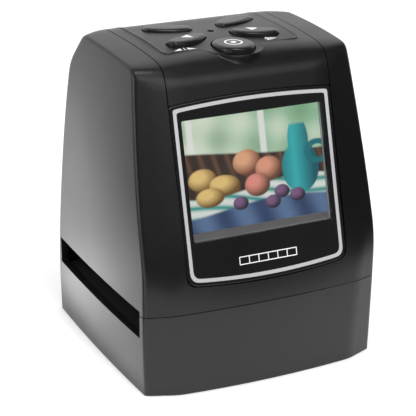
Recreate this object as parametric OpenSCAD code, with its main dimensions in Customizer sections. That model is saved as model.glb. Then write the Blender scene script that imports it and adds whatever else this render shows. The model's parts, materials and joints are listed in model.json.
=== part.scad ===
/* [Body] */
// Depth of the body over the front and rear walls at the base
body_d = 83; // [75:0.5:100]
// Half width of the side walls at the base, where they bulge most
base_half_w = 40.9; // [39:0.1:50]
// Height of the roof above the table
roof_z = 101.5; // [98:0.5:122]
// Height that the rubber feet hold the base off the table
foot_h = 0.8; // [0.5:0.1:1.4]
// Thickness of the moulded housing walls
wall = 2.4; // [1.9:0.1:2.8]
// Gap between neighbouring mouldings
seam_gap = 0.4; // [0.2:0.05:0.6]
// Half width of the cover that runs over the top between the side panels
cover_half_w = 28.15; // [26:0.05:30]

/* [Screen] */
// Width of the clear window over the display
window_w = 49; // [40:0.1:51]
// Height of the clear window over the display
window_h = 36.75; // [30:0.05:38]
// Angle at which the screen leans back
screen_lean = 15.8; // [14:0.1:18]
// Height of the middle of the window above the table
screen_z = 65.4; // [64:0.1:67]
// Thickness of the glossy screen mask
mask_t = 1.2; // [0.8:0.1:1.6]
// Width of the silver line around the screen
trim_w = 1.15; // [0.6:0.05:1.6]

/* [Buttons] */
// Radius of the round scan button
scan_r = 6.7; // [5.5:0.1:7.4]
// Length of a petal shaped button between its cut tips
petal_l = 15.3; // [12:0.1:16]
// Height of a button above the raised control panel
button_proud = 1.9; // [1.6:0.1:2.3]
// How far a button goes down
button_travel = 0.8; // [0.4:0.1:1]
// Gap around a button in its opening
button_gap = 0.35; // [0.2:0.05:0.5]

/* [Film path] */
// Height of the film slot above the table, at its lower edge
slot_z = 18.3; // [17.5:0.1:19]
// Height of the film slot
slot_h = 8.8; // [6:0.1:9]
// Length of the film slot, front to back
slot_l = 66.2; // [56:0.2:66.4]
// Width of the gate over one frame of film
gate_w = 38; // [37:0.5:42]
// Depth of the gate over one frame of film
gate_d = 26; // [25:0.5:29]

/* [Hidden] */

big = 300;
arc_step = 6;
eps = 0.01;

// Outer surfaces of the body
front_wall_r = 277;
front_wall_lean = 2.14;
rear_wall_lean = 0.9;
side_wall_r = 880;
side_wall_lean = -2.4;
side_wall_y = -59.6;
side_long_r = 1149;
side_short_r = 461;
side_apex = [base_half_w + 0.4, -39.7, 16.5];
fold_z = roof_z - 13.6;
fold_y = 17.05 - body_d / 2;
screen_face_lean = 16.7;
roof_front_slope = 7.5;
rear_face_lean = 7.6;
shoulder_slope = 8.2;
facet_x = base_half_w - 0.35;
front_facet_turn = 22.1;
rear_facet_turn = 35;
rear_crease_y = body_d / 2 - 7.1;
rear_crease_x = base_half_w - 4.9;

// Side view of the body: lines [y, z, angle, radius of the corner that follows]
side_edges = [
    [0, foot_h, 0, 0],
    [body_d / 2 - 0.5, 30, 90 + rear_face_lean, 20],
    [0, roof_z, 180, 150],
    [fold_y + 12.55, roof_z - 1.25, 180 + roof_front_slope, 11],
    [fold_y, fold_z, 270 - screen_face_lean, 0]
];

// Parting surface between the lower and upper housing
parting_y = -35.1;
parting_z = 25.8;
parting_slope = 5.9;
function parting_at(y) = parting_z - (y - parting_y) * tan(parting_slope);

// Screen: its own frame has x to the right, y up the slope and z out of the face
screen_y = fold_y - (fold_z - screen_z) * tan(screen_lean) + 0.41;
mask_top = 24.4;
mask_bottom = -32.6;
mask_half_w = 28.15;
mask_arch_r = 310;
mask_corner_r = 5.6;
trim_inset = 1.1;
trim_t = 0.35;
lcd_depth = 2.4;
lcd_lip = 2.3;
lcd_t = 3;
lcd_w = window_w + 6;
lcd_h = window_h + 7;
glass_t = 0.7;
board_t = 1.6;
main_back = lcd_depth + lcd_t;

// Control panel on the roof
panel_sink = 0.35;
panel_half_w = 23.6;
panel_front = -12.2;
panel_rear = 24;
button_mid_y = 2.2;
scan_y = -13.4;
scan_top_z = roof_z - panel_sink - 1.4 + button_proud;
petal_x = 12.1;
petal_y = 6.2;
petal_turn = 20;
petal_outer_r = 13.9;
petal_outer_v = -3.9;
petal_inner_r = 23.2;
petal_inner_v = 2.7;
petal_top_z = roof_z - panel_sink + button_proud;
bevel = 0.7;
roof_inner_z = roof_z - wall;
flange_t = 1.1;
flange_w = 1;
flange_gap = 0.25;
// How far the inside of the roof falls over the front and the rear petals
front_drop = 1.1;
rear_drop = 0.1;
panel_notch_r = 8.6;

// Switches under the buttons
button_board_z = roof_inner_z - 8.1;
switch_z = button_board_z + board_t;
switch_h = 2.6;
plunger_r = 1.6;
plunger_gap = 0.1;
plunger_z = switch_z + 0.7 + button_travel;
plunger_h = 2.2;
plunger_top = plunger_z + plunger_h;
stem_r = 2;
scan_tab_top = roof_inner_z - 2.4;

// Film path
slot_y = 0.7;
guide_gap = 0.4;
guide_t = 2.2;
channel_floor = slot_z - 0.3;
channel_roof = slot_z + slot_h + 0.3;
rail_split = (channel_floor + channel_roof) / 2;
rail_front = slot_y - slot_l / 2;
rail_rear = slot_y + slot_l / 2;
rail_d = 3.6;
guide_screw_x = 11;
guide_screw_r = 1;

// Light unit in the base
floor_z = foot_h + wall;
diffuser_t = 1.2;
light_w = gate_w + 12;
light_d = gate_d + 12;
light_board_z = floor_z + 1.8;
light_box_z = light_board_z + board_t;
light_box_top = channel_floor - guide_t - diffuser_t;

// Camera unit over the film
tower_z = channel_roof + guide_t;
tower_flange_t = 1.8;
tower_wall = 1.6;
tower_w = gate_w + 8;
tower_d = gate_d + 8;
tower_top = 56;
tower_front = slot_y - tower_d / 2 - 3.2;
tower_rear = slot_y + tower_d / 2 + 0.2;
lens_r = 6;
lens_holder_r = 9;
sensor_board_z = tower_top + 10;
sensor_h = 1.6;
tower_screw_y = [slot_y - 14.7, slot_y + 11.3];

// Sockets at the rear
port_board_z = tower_z + 1.6;
port_z = port_board_z + board_t;
port_rear = body_d / 2 - wall - 1.6;
port_front = tower_rear + 0.3;
usb_x = -19;
usb_w = 7.7;
usb_h = 4;
av_x = 18.5;
av_w = 6;
av_r = 2.9;
card_w = 27.2;
card_h = 3;
card_mouth_w = 24.6;
card_mouth_h = 2.3;

// Fasteners and feet
boss_r = 3;
base_screw_r = 1.3;
base_screw_head_r = 2.3;
base_screw_len = 26;
base_screws_at = [[22, 5.5 - body_d / 2], [20, body_d / 2 - 4.4]];
foot_r = 4;
foot_t = foot_h + 0.8;
feet_at = [[29, -25], [26, 25]];
board_screws_at = [[22.4, button_mid_y], [4, button_mid_y + 12.3]];

// Where two lines [y, z, angle] cross
function line_cross(p, q) =
    let (t = ((q[0] - p[0]) * sin(q[2]) - (q[1] - p[1]) * cos(q[2])) / sin(q[2] - p[2]))
    [p[0] + t * cos(p[2]), p[1] + t * sin(p[2])];

// A line moved to its left, which is into the outline
function line_inset(p, by) = [p[0] - by * sin(p[2]), p[1] + by * cos(p[2]), p[2]];

// Points of a corner rounded to radius r between edges at two angles
function corner_points(corner, angle_in, angle_out, r) =
    let (reach = r * tan((angle_out - angle_in) / 2))
    let (start = corner - reach * [cos(angle_in), sin(angle_in)])
    let (centre = start + r * [-sin(angle_in), cos(angle_in)])
    let (steps = max(1, ceil((angle_out - angle_in) / arc_step)))
    r <= 0 ? [corner] :
    [for (i = [0:steps])
        let (a = angle_in + (angle_out - angle_in) * i / steps)
        centre + r * [sin(a), -cos(a)]];

// Convex outline from its edge lines, moved inwards by inset
function outline_points(edges, inset) =
    let (n = len(edges))
    let (lines = [for (e = edges) line_inset(e, inset)])
    [for (i = [0:n - 1])
        let (j = (i + 1) % n)
        let (angle_out = lines[j][2] + (j == 0 ? 360 : 0))
        each corner_points(line_cross(lines[i], lines[j]), lines[i][2], angle_out,
            edges[i][3] - inset)];

// Everything behind a plane that faces azimuth and leans back as it rises
module half_space(point, azimuth, lean, inset) {
    translate(point)
        rotate([0, 0, azimuth])
            rotate([-lean, 0, 0])
                translate([-big / 2, inset, -big / 2])
                    cube(big);
}

// Everything behind a large upright cylinder that faces azimuth
module leaning_barrel(foot, azimuth, r, lean, inset) {
    translate(foot)
        rotate([0, 0, azimuth])
            rotate([-lean, 0, 0])
                translate([0, r, -big / 2])
                    cylinder(r = r - inset, h = big, $fn = 360);
}

// Everything under a plane that falls to the right and rises to the back
module under_plane(point, fall, rise, inset) {
    translate(point)
        rotate([rise, 0, 0])
            rotate([0, fall, 0])
                translate([-big / 2, -big / 2, -big - inset])
                    cube(big);
}

module side_view(inset) {
    translate([-big / 2, 0, 0])
        rotate([90, 0, 90])
            linear_extrude(height = big)
                polygon(outline_points(side_edges, inset));
}

// Right side wall above the slot: a shallow double curve, turned by 45 degrees
module upper_side(inset) {
    translate(side_apex)
        rotate([45, 0, 0])
            translate([-side_long_r, 0, 0])
                rotate([0, 0, -8])
                    rotate_extrude(angle = 16, $fn = 720)
                        intersection() {
                            translate([side_long_r - side_short_r, 0])
                                circle(r = side_short_r - inset, $fn = 720);
                            translate([side_long_r - 100, -140])
                                square([101, 280]);
                        }
}

module lower_side(inset) {
    leaning_barrel([base_half_w, side_wall_y, foot_h], 90, side_wall_r, side_wall_lean, inset);
}

module front_base_facet(inset) {
    half_space([facet_x, 5.7 - body_d / 2, foot_h], front_facet_turn, 0.6, inset);
}

module screen_facet(inset) {
    half_space([28.4, fold_y, fold_z], 16.7, 16.1, inset);
}

module rear_base_facet(inset) {
    half_space([rear_crease_x, rear_crease_y, foot_h], 180 - rear_facet_turn, 0.6, inset);
}

module rear_upper_facet(inset) {
    half_space([rear_crease_x + 0.3, rear_crease_y - 7, roof_z - 15.1],
        180 - rear_facet_turn, 7, inset);
}

module rear_top_facet(inset) {
    half_space([rear_crease_x + 0.4, rear_crease_y - 12, roof_z - 6.7],
        180 - rear_facet_turn, 35, inset);
}

module roof_shoulder(inset) {
    under_plane([cover_half_w, 0, roof_z], shoulder_slope, 0, inset);
}

module front_shoulder(inset) {
    under_plane([cover_half_w, fold_y + 12.55, roof_z - 1.25], shoulder_slope,
        roof_front_slope, inset);
}

// The whole body as one solid, moved inwards by inset
module body_form(inset) {
    intersection() {
        side_view(inset);
        translate([-60, -60, foot_h])
            cube([120, 120, roof_z + 10]);
        leaning_barrel([0, -body_d / 2, foot_h], 0, front_wall_r, front_wall_lean, inset);
        leaning_barrel([0, body_d / 2, foot_h], 180, front_wall_r, rear_wall_lean, inset);
        upper_side(inset);
        mirror([1, 0, 0]) upper_side(inset);
        lower_side(inset);
        mirror([1, 0, 0]) lower_side(inset);
        front_base_facet(inset);
        mirror([1, 0, 0]) front_base_facet(inset);
        screen_facet(inset);
        mirror([1, 0, 0]) screen_facet(inset);
        rear_base_facet(inset);
        mirror([1, 0, 0]) rear_base_facet(inset);
        rear_upper_facet(inset);
        mirror([1, 0, 0]) rear_upper_facet(inset);
        rear_top_facet(inset);
        mirror([1, 0, 0]) rear_top_facet(inset);
        roof_shoulder(inset);
        mirror([1, 0, 0]) roof_shoulder(inset);
        front_shoulder(inset);
        mirror([1, 0, 0]) front_shoulder(inset);
    }
}

module body_shell() {
    difference() {
        body_form(0);
        body_form(wall);
    }
}

module above_parting(gap) {
    translate([0, parting_y, parting_z + gap])
        rotate([-parting_slope, 0, 0])
            translate([-big / 2, -big / 2, 0])
                cube(big);
}

module below_parting() {
    translate([0, parting_y, parting_z])
        rotate([-parting_slope, 0, 0])
            translate([-big / 2, -big / 2, -big])
                cube(big);
}

// Places its children at [x, y] and mirrored to the left
module both_sides(places) {
    for (p = places)
        for (side = [-1, 1])
            translate([side * p[0], p[1], 0])
                children();
}

module slot_cut() {
    translate([-60, rail_front, slot_z])
        cube([120, slot_l, slot_h]);
}

// Puts its children into the frame of the screen
module on_screen() {
    translate([0, screen_y, screen_z])
        rotate([90 - screen_lean, 0, 0])
            children();
}

// Outline of the screen mask, moved inwards by inset
module mask_outline(inset) {
    half_w = mask_half_w - inset;
    corner_y = mask_bottom + 1.35 + inset;
    corner_r = mask_corner_r - inset;
    difference() {
        intersection() {
            translate([-half_w, mask_bottom - 5])
                square([2 * half_w, 70]);
            translate([0, mask_top - inset - (mask_arch_r - inset)])
                circle(r = mask_arch_r - inset, $fn = 720);
            translate([0, mask_bottom + mask_arch_r])
                circle(r = mask_arch_r - inset, $fn = 720);
        }
        for (side = [-1, 1])
            difference() {
                translate([side * half_w - (side > 0 ? corner_r : 0), corner_y - 6])
                    square([corner_r, corner_r + 6]);
                translate([side * (half_w - corner_r), corner_y + corner_r])
                    circle(r = corner_r, $fn = 64);
            }
    }
}

module window_outline(gap) {
    square([window_w + 2 * gap, window_h + 2 * gap], center = true);
}

// Space that the top cover takes between the side panels
module cover_zone(gap) {
    half_w = cover_half_w + gap;
    front = screen_y + 23 * sin(screen_lean);
    front_z = screen_z + 23 * cos(screen_lean);
    translate([-half_w, 0, 0])
        rotate([90, 0, 90])
            linear_extrude(height = 2 * half_w)
                polygon([[front - 30, front_z + 8.5], [front + 10, front_z - 2.8 - gap],
                    [20, front_z - 20], [20, 45 - gap], [70, 45 - gap], [70, 130],
                    [front - 30, 130]]);
}

module screen_pocket() {
    on_screen() {
        translate([0, 0, -mask_t])
            linear_extrude(height = 12)
                mask_outline(-seam_gap / 2);
        translate([0, 0, -12])
            linear_extrude(height = 13)
                square([lcd_w + 0.6, lcd_h + 0.6], center = true);
    }
}

module upper_bosses() {
    intersection() {
        body_form(wall / 2);
        above_parting(0.25);
        both_sides(base_screws_at)
            translate([0, 0, 10])
                cylinder(r = boss_r, h = port_board_z - 10.4, $fn = 48);
    }
}

module lower_housing() color("dimgray") {
    difference() {
        union() {
            intersection() {
                body_shell();
                below_parting();
            }
            intersection() {
                body_form(wall / 2);
                below_parting();
                both_sides(base_screws_at)
                    translate([0, 0, foot_h])
                        cylinder(r = boss_r, h = 40, $fn = 48);
            }
            both_sides([[light_w / 2 - 4, slot_y - light_d / 2 + 4],
                    [light_w / 2 - 4, slot_y + light_d / 2 - 4]])
                translate([0, 0, floor_z - eps])
                    cylinder(r = 2.5, h = light_board_z - floor_z + eps, $fn = 32);
            both_sides([[light_w / 2 + 3, slot_y - 22], [light_w / 2 + 3, slot_y + 22]])
                translate([0, 0, floor_z - eps])
                    cylinder(r = 2, h = channel_floor - guide_t - floor_z + eps, $fn = 32);
        }
        slot_cut();
        both_sides(base_screws_at) {
            translate([0, 0, foot_h - 1])
                cylinder(r = base_screw_head_r + 0.2, h = 3, $fn = 48);
            translate([0, 0, foot_h])
                cylinder(r = base_screw_r + 0.1, h = 40, $fn = 48);
        }
        both_sides(feet_at)
            translate([0, 0, foot_h - 1])
                cylinder(r = foot_r + 0.1, h = 1 + foot_t - foot_h, $fn = 64);
    }
}

module rear_port_cuts() {
    translate([usb_x - usb_w / 2 - 0.4, port_rear - 2, port_z - 0.2])
        cube([usb_w + 0.8, 20, usb_h + 0.4]);
    translate([av_x, port_rear - 2, port_z + av_w / 2])
        rotate([-90, 0, 0])
            cylinder(r = av_r + 0.2, h = 20, $fn = 48);
    translate([-card_mouth_w / 2 - 0.4, port_rear - 2, port_z + 0.1])
        cube([card_mouth_w + 0.8, 20, card_mouth_h + 0.5]);
}

module upper_housing() color("black") {
    difference() {
        union() {
            intersection() {
                body_shell();
                above_parting(0.25);
            }
            upper_bosses();
        }
        cover_zone(seam_gap);
        screen_pocket();
        slot_cut();
        rear_port_cuts();
        both_sides(base_screws_at)
            translate([0, 0, 5])
                cylinder(r = base_screw_r + 0.03, h = base_screw_len, $fn = 48);
    }
}

// Outline of the raised control panel, seen from above
module panel_outline() {
    translate([-panel_half_w, panel_front])
        square([2 * panel_half_w, panel_rear - panel_front]);
    translate([0, scan_y])
        circle(r = panel_notch_r, $fn = 96);
}

// Outline of one petal button, grown by gap
module petal_outline(gap) {
    intersection() {
        translate([0, petal_outer_v + petal_outer_r])
            circle(r = petal_outer_r + gap, $fn = 96);
        translate([0, petal_inner_v - petal_inner_r])
            circle(r = petal_inner_r + gap, $fn = 96);
        square([petal_l + 2 * gap, 20], center = true);
    }
}

// Puts a petal in its place; side and row are -1 or 1
module petal_place(side, row) {
    translate([side * petal_x, button_mid_y + row * petal_y, 0])
        mirror([side < 0 ? 1 : 0, 0, 0])
            mirror([0, row > 0 ? 1 : 0, 0])
                rotate([0, 0, -petal_turn])
                    children();
}

module bevelled_disc(r, h, z) {
    translate([0, 0, z])
        cylinder(r = r, h = h - bevel, $fn = 96);
    translate([0, 0, z + h - bevel])
        cylinder(r1 = r, r2 = r - bevel, h = bevel, $fn = 96);
}

// Round tongue of the panel that carries its floor out over the front fold
module panel_tongue() {
    difference() {
        intersection() {
            translate([0, scan_y, roof_z - 12])
                cylinder(r = panel_notch_r, h = 24, $fn = 96);
            translate([-20, fold_y + 12.55, roof_z - 1.25 - panel_sink])
                rotate([roof_front_slope, 0, 0])
                    translate([0, -30, -30])
                        cube([40, 30, 30]);
        }
        body_form(wall / 2);
    }
}

module top_cover() color("black") {
    screw_boss_h = roof_inner_z - switch_z + 0.6;
    difference() {
        union() {
            difference() {
                intersection() {
                    body_shell();
                    cover_zone(0);
                }
                difference() {
                    translate([0, 0, roof_z - 12])
                        linear_extrude(height = 24)
                            panel_outline();
                    body_form(panel_sink);
                }
            }
            panel_tongue();
            both_sides(board_screws_at)
                translate([0, 0, switch_z])
                    cylinder(r = 2.4, h = screw_boss_h, $fn = 32);
        }
        on_screen()
            translate([0, 0, -6])
                linear_extrude(height = 12)
                    mask_outline(-seam_gap / 2);
        translate([0, scan_y, button_board_z + 2])
            cylinder(r = scan_r + button_gap, h = 30, $fn = 96);
        for (side = [-1, 1])
            for (row = [-1, 1])
                petal_place(side, row)
                    translate([0, 0, roof_inner_z - 1])
                        linear_extrude(height = 10)
                            petal_outline(button_gap);
        translate([0, button_mid_y, roof_inner_z - 1])
            cylinder(r = 1.1, h = 10, $fn = 48);
        both_sides(board_screws_at)
            translate([0, 0, switch_z - 1])
                cylinder(r = 0.85, h = 5.5, $fn = 32);
    }
}

module screen_mask() color([0.05, 0.05, 0.06]) {
    on_screen()
        difference() {
            translate([0, 0, -mask_t])
                linear_extrude(height = mask_t)
                    mask_outline(0);
            translate([0, 0, -mask_t - 1])
                linear_extrude(height = mask_t + 2)
                    window_outline(0);
            translate([0, 0, -trim_t])
                linear_extrude(height = 1)
                    difference() {
                        mask_outline(trim_inset);
                        mask_outline(trim_inset + trim_w);
                    }
        }
}

module frame_trim() color("silver") {
    on_screen()
        translate([0, 0, -trim_t])
            linear_extrude(height = trim_t + 0.1)
                difference() {
                    mask_outline(trim_inset);
                    mask_outline(trim_inset + trim_w);
                }
}

module window_pane() color([0.6, 0.7, 0.75]) {
    on_screen()
        translate([0, 0, -mask_t])
            linear_extrude(height = mask_t - 0.1)
                window_outline(0);
}

module lcd_gasket() color("gray") {
    on_screen()
        translate([0, 0, -lcd_depth])
            linear_extrude(height = lcd_depth - mask_t)
                difference() {
                    square([lcd_w, lcd_h], center = true);
                    window_outline(0.1);
                }
}

module lcd_frame() color("darkgray") {
    glass_h = window_h + 0.4 - lcd_lip;
    on_screen()
        difference() {
            translate([-lcd_w / 2, -lcd_h / 2, -lcd_depth - lcd_t])
                cube([lcd_w, lcd_h, lcd_t]);
            translate([-window_w / 2 - 0.2, lcd_lip - window_h / 2, -lcd_depth - glass_t])
                cube([window_w + 0.4, glass_h - 0.2, 5]);
        }
}

module lcd_glass() color("seagreen") {
    on_screen()
        translate([-window_w / 2 - 0.1, lcd_lip - window_h / 2 + 0.1, -lcd_depth - glass_t])
            cube([window_w + 0.2, window_h - lcd_lip, glass_t - 0.1]);
}

module main_board() color("green") {
    on_screen()
        translate([-27, -lcd_h / 2, -main_back - board_t])
            cube([54, lcd_h, board_t]);
}

module main_chips() color("dimgray") {
    on_screen()
        for (c = [[-8, 4, 14, 14], [12, 6, 9, 12], [-16, -12, 8, 6], [8, -12, 10, 5]])
            translate([c[0] - c[2] / 2, c[1] - c[3] / 2, -main_back - board_t - 1.2])
                cube([c[2], c[3], 1.2]);
}

// A petal cap: bevelled head, a flange that keeps it in, and its stem
module petal_cap(drop) {
    head_z = roof_inner_z - flange_gap - drop;
    h = petal_top_z - head_z;
    intersection() {
        translate([0, petal_outer_v + petal_outer_r, 0])
            bevelled_disc(petal_outer_r, h, head_z);
        translate([0, petal_inner_v - petal_inner_r, 0])
            bevelled_disc(petal_inner_r, h, head_z);
        translate([-petal_l / 2, -10, head_z])
            cube([petal_l, 20, h]);
    }
    translate([0, 0, head_z - flange_t])
        linear_extrude(height = flange_t)
            petal_outline(flange_w);
    translate([0, 0, plunger_top])
        cylinder(r = stem_r, h = head_z - flange_t - plunger_top, $fn = 32);
}

module mirror_button() color([0.1, 0.1, 0.1]) petal_place(-1, -1) petal_cap(front_drop);
module flip_button() color([0.1, 0.1, 0.1]) petal_place(1, -1) petal_cap(front_drop);
module mode_button() color([0.1, 0.1, 0.1]) petal_place(-1, 1) petal_cap(rear_drop);
module power_button() color([0.1, 0.1, 0.1]) petal_place(1, 1) petal_cap(rear_drop);

module scan_button() color([0.1, 0.1, 0.1]) {
    skirt_z = scan_tab_top - flange_t;
    translate([0, scan_y, 0]) {
        difference() {
            bevelled_disc(scan_r, scan_top_z - skirt_z, skirt_z);
            translate([0, 0, skirt_z - 1])
                cylinder(r = scan_r - 1.2, h = scan_top_z - skirt_z - 0.5, $fn = 64);
        }
        translate([0, 0, plunger_top])
            cylinder(r = stem_r, h = scan_top_z - 1.4 - plunger_top, $fn = 32);
        for (side = [-1, 1])
            translate([side * (scan_r + 0.4) - 1.1, -2, skirt_z])
                cube([2.2, 4, flange_t]);
    }
}

module plunger() {
    translate([0, 0, plunger_z])
        cylinder(r = plunger_r, h = plunger_h, $fn = 32);
}

module scan_plunger() color("ivory") translate([0, scan_y, 0]) plunger();
module mirror_plunger() color("ivory") petal_place(-1, -1) plunger();
module flip_plunger() color("ivory") petal_place(1, -1) plunger();
module mode_plunger() color("ivory") petal_place(-1, 1) plunger();
module power_plunger() color("ivory") petal_place(1, 1) plunger();

module button_board() color("green") {
    difference() {
        translate([-25, -19, button_board_z])
            cube([50, 36, board_t]);
        both_sides(board_screws_at)
            translate([0, 0, button_board_z - 1])
                cylinder(r = 1.1, h = board_t + 2, $fn = 32);
    }
}

module switch_body() {
    difference() {
        translate([-3, -3, switch_z])
            cube([6, 6, switch_h]);
        translate([0, 0, switch_z + 0.4])
            cylinder(r = plunger_r + plunger_gap, h = switch_h, $fn = 32);
    }
}

module switch_bodies() color("silver") {
    translate([0, scan_y, 0])
        switch_body();
    for (side = [-1, 1])
        for (row = [-1, 1])
            petal_place(side, row)
                switch_body();
}

module status_led() color("white") {
    translate([-1, button_mid_y - 0.6, switch_z])
        cube([2, 1.2, 0.8]);
}

module light_pipe() color("white") {
    translate([0, button_mid_y, switch_z + 1]) {
        cylinder(r = 0.9, h = roof_z - panel_sink - 1.2 - switch_z - 1, $fn = 32);
        cylinder(r = 0.35, h = roof_z - panel_sink - 0.3 - switch_z - 1, $fn = 24);
        cylinder(r = 1.6, h = 2, $fn = 32);
    }
}

// Plan of a film guide: follows the inside of the side walls
module guide_plan(z, h) {
    intersection() {
        body_form(wall + guide_gap);
        translate([-50, rail_front, z])
            cube([100, slot_l, h]);
    }
}

module guide_rails(z, h) {
    translate([-17, rail_front - rail_d, z])
        cube([34, rail_d, h]);
    translate([-15, rail_rear, z])
        cube([30, rail_d, h]);
}

module gate_cut() {
    translate([-gate_w / 2, slot_y - gate_d / 2, 0])
        cube([gate_w, gate_d, 60]);
}

module guide_screw_cuts(r, z, h) {
    both_sides([[guide_screw_x, rail_front - rail_d / 2], [guide_screw_x, rail_rear + rail_d / 2]])
        translate([0, 0, z])
            cylinder(r = r, h = h, $fn = 32);
}

module film_guide_bottom() color([0.12, 0.12, 0.12]) {
    difference() {
        union() {
            guide_plan(channel_floor - guide_t, guide_t);
            guide_rails(channel_floor - guide_t, rail_split - channel_floor + guide_t);
        }
        gate_cut();
        guide_screw_cuts(guide_screw_r + 0.03, channel_floor - 1, 20);
    }
}

module film_guide_top() color([0.12, 0.12, 0.12]) {
    difference() {
        union() {
            guide_plan(channel_roof, guide_t);
            guide_rails(rail_split, channel_roof + guide_t - rail_split);
            both_sides([[21, port_front + 3], [21, port_front + 12]])
                translate([0, 0, channel_roof + guide_t - eps])
                    cylinder(r = 2, h = port_board_z - channel_roof - guide_t + eps, $fn = 32);
        }
        gate_cut();
        guide_screw_cuts(guide_screw_r + 0.1, rail_split - 1, 20);
        both_sides([for (y = tower_screw_y) [gate_w / 2 + 7, y]])
            translate([0, 0, channel_roof + 0.4])
                cylinder(r = 1.03, h = 5, $fn = 32);
    }
}

module light_diffuser() color("white") {
    translate([-light_w / 2, slot_y - light_d / 2, light_box_top])
        cube([light_w, light_d, diffuser_t]);
}

module light_box() color("whitesmoke") {
    difference() {
        translate([-light_w / 2, slot_y - light_d / 2, light_box_z])
            cube([light_w, light_d, light_box_top - light_box_z]);
        translate([1.5 - light_w / 2, slot_y - light_d / 2 + 1.5, light_box_z - 1])
            cube([light_w - 3, light_d - 3, 40]);
        translate([light_w / 2 - 3, slot_y - 1.8, light_box_z - 1])
            cube([5, 3.6, 2.3]);
    }
}

module backlight_board() color("white") {
    translate([-light_w / 2, slot_y - light_d / 2, light_board_z])
        cube([light_w, light_d, board_t]);
}

module backlight_leds() color("lightyellow") {
    for (x = [-14, 0, 14])
        for (y = [-9, 0, 9])
            translate([x - 1.4, slot_y + y - 1.75, light_box_z])
                cube([2.8, 3.5, 0.9]);
}

module optics_tower() color([0.08, 0.08, 0.08]) {
    difference() {
        union() {
            translate([-gate_w / 2 - 11, tower_front, tower_z])
                cube([gate_w + 22, tower_rear - tower_front, tower_flange_t]);
            translate([-tower_w / 2, slot_y - tower_d / 2, tower_z])
                cube([tower_w, tower_d, tower_top - tower_z]);
        }
        translate([tower_wall - tower_w / 2, slot_y - tower_d / 2 + tower_wall, tower_z - 1])
            cube([tower_w - 2 * tower_wall, tower_d - 2 * tower_wall,
                tower_top - tower_z - tower_wall + 1]);
        translate([0, slot_y, tower_top - 5])
            cylinder(r = lens_r + 0.4, h = 10, $fn = 64);
        both_sides([for (y = tower_screw_y) [gate_w / 2 + 7, y]])
            translate([0, 0, tower_z - 1])
                cylinder(r = 1.1, h = 6, $fn = 32);
    }
}

module lens_holder() color([0.15, 0.15, 0.15]) {
    translate([0, slot_y, tower_top])
        difference() {
            union() {
                cylinder(r = lens_holder_r, h = 6, $fn = 64);
                translate([-11, -9, 5.5])
                    cube([22, 18, sensor_board_z - tower_top - 5.5]);
            }
            translate([0, 0, -1])
                cylinder(r = lens_r + 0.05, h = 8, $fn = 64);
            translate([-7.6, -6.2, 6.5])
                cube([15.2, 12.4, 10]);
            for (x = [-9.3, 9.3])
                translate([x, 0, 6])
                    cylinder(r = 0.75, h = 10, $fn = 24);
        }
}

module lens_barrel() color("dimgray") {
    translate([0, slot_y, tower_top - 6])
        difference() {
            cylinder(r = lens_r, h = 12, $fn = 64);
            translate([0, 0, -1])
                cylinder(r = lens_r - 1.5, h = 14, $fn = 64);
        }
}

module lens_elements() color("lightblue") {
    for (z = [0.6, 5, 9.6])
        translate([0, slot_y, tower_top - 6 + z])
            cylinder(r = lens_r - 1.5, h = 1.8, $fn = 64);
}

module sensor_board() color("green") {
    difference() {
        translate([-19, slot_y - 12.5, sensor_board_z])
            cube([38, 27, board_t]);
        for (x = [-9.3, 9.3])
            translate([x, slot_y, sensor_board_z - 1])
                cylinder(r = 1, h = 4, $fn = 24);
    }
}

module image_sensor() color("slategray") {
    translate([-7, slot_y - 5.6, sensor_board_z - sensor_h])
        cube([14, 11.2, sensor_h]);
}

module port_board() color("green") {
    translate([-24, port_front, port_board_z])
        cube([48, port_rear - port_front, board_t]);
}

module usb_socket() color("silver") {
    translate([usb_x - usb_w / 2, port_rear - 8, port_z])
        difference() {
            cube([usb_w, 11, usb_h]);
            translate([0.5, 2, 0.5])
                cube([usb_w - 1, 20, usb_h - 1]);
        }
    translate([usb_x - 2, port_rear - 6.5, port_z + usb_h / 2 - 0.5])
        cube([4, 8, 1]);
}

module av_jack() color([0.2, 0.2, 0.2]) {
    difference() {
        union() {
            translate([av_x - av_w / 2, port_rear - 11, port_z])
                cube([av_w, 10.2, av_w - 0.4]);
            translate([av_x, port_rear - 1, port_z + av_w / 2])
                rotate([-90, 0, 0])
                    cylinder(r = av_r, h = 4, $fn = 48);
        }
        translate([av_x, port_rear - 9, port_z + av_w / 2])
            rotate([-90, 0, 0])
                cylinder(r = 1.8, h = 20, $fn = 48);
    }
}

module card_socket() color("silver") {
    difference() {
        translate([-card_w / 2, port_rear - 19, port_z])
            cube([card_w, 18.4, card_h]);
        translate([-card_mouth_w / 2, port_rear - 17.5, port_z + 0.35])
            cube([card_mouth_w, 30, card_mouth_h]);
    }
}

// Direction across a path at its point i, halfway between its two neighbours
function path_across(path, i) =
    let (last = len(path) - 1)
    let (before = path[max(i, 1)] - path[max(i, 1) - 1])
    let (after = path[min(i, last - 1) + 1] - path[min(i, last - 1)])
    let (run = before / norm(before) + after / norm(after))
    [-run[1], run[0]] / norm(run);

// A flat ribbon of width w at x, along a path of [y, z] points
module ribbon(x, w, t, path) {
    last = len(path) - 1;
    translate([x - w / 2, 0, 0])
        rotate([90, 0, 90])
            linear_extrude(height = w)
                polygon([
                    for (i = [0:last]) path[i] + path_across(path, i) * t / 2,
                    for (i = [0:last]) path[last - i] - path_across(path, last - i) * t / 2
                ]);
}

// A point of the main board's rear face, as [y, z] in the body's frame
function main_board_rear(up, off) =
    [screen_y + (main_back + board_t + off) * cos(screen_lean) + up * sin(screen_lean),
        screen_z - (main_back + board_t + off) * sin(screen_lean) + up * cos(screen_lean)];

module button_ribbon() color("tan") {
    ribbon(0, 14, 0.3, [[-15, button_board_z - 0.15], [-11, button_board_z - 0.15],
        [-8, button_board_z - 2], [-8, button_board_z - 6], main_board_rear(18, 4),
        main_board_rear(18, 0.3)]);
}

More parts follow.
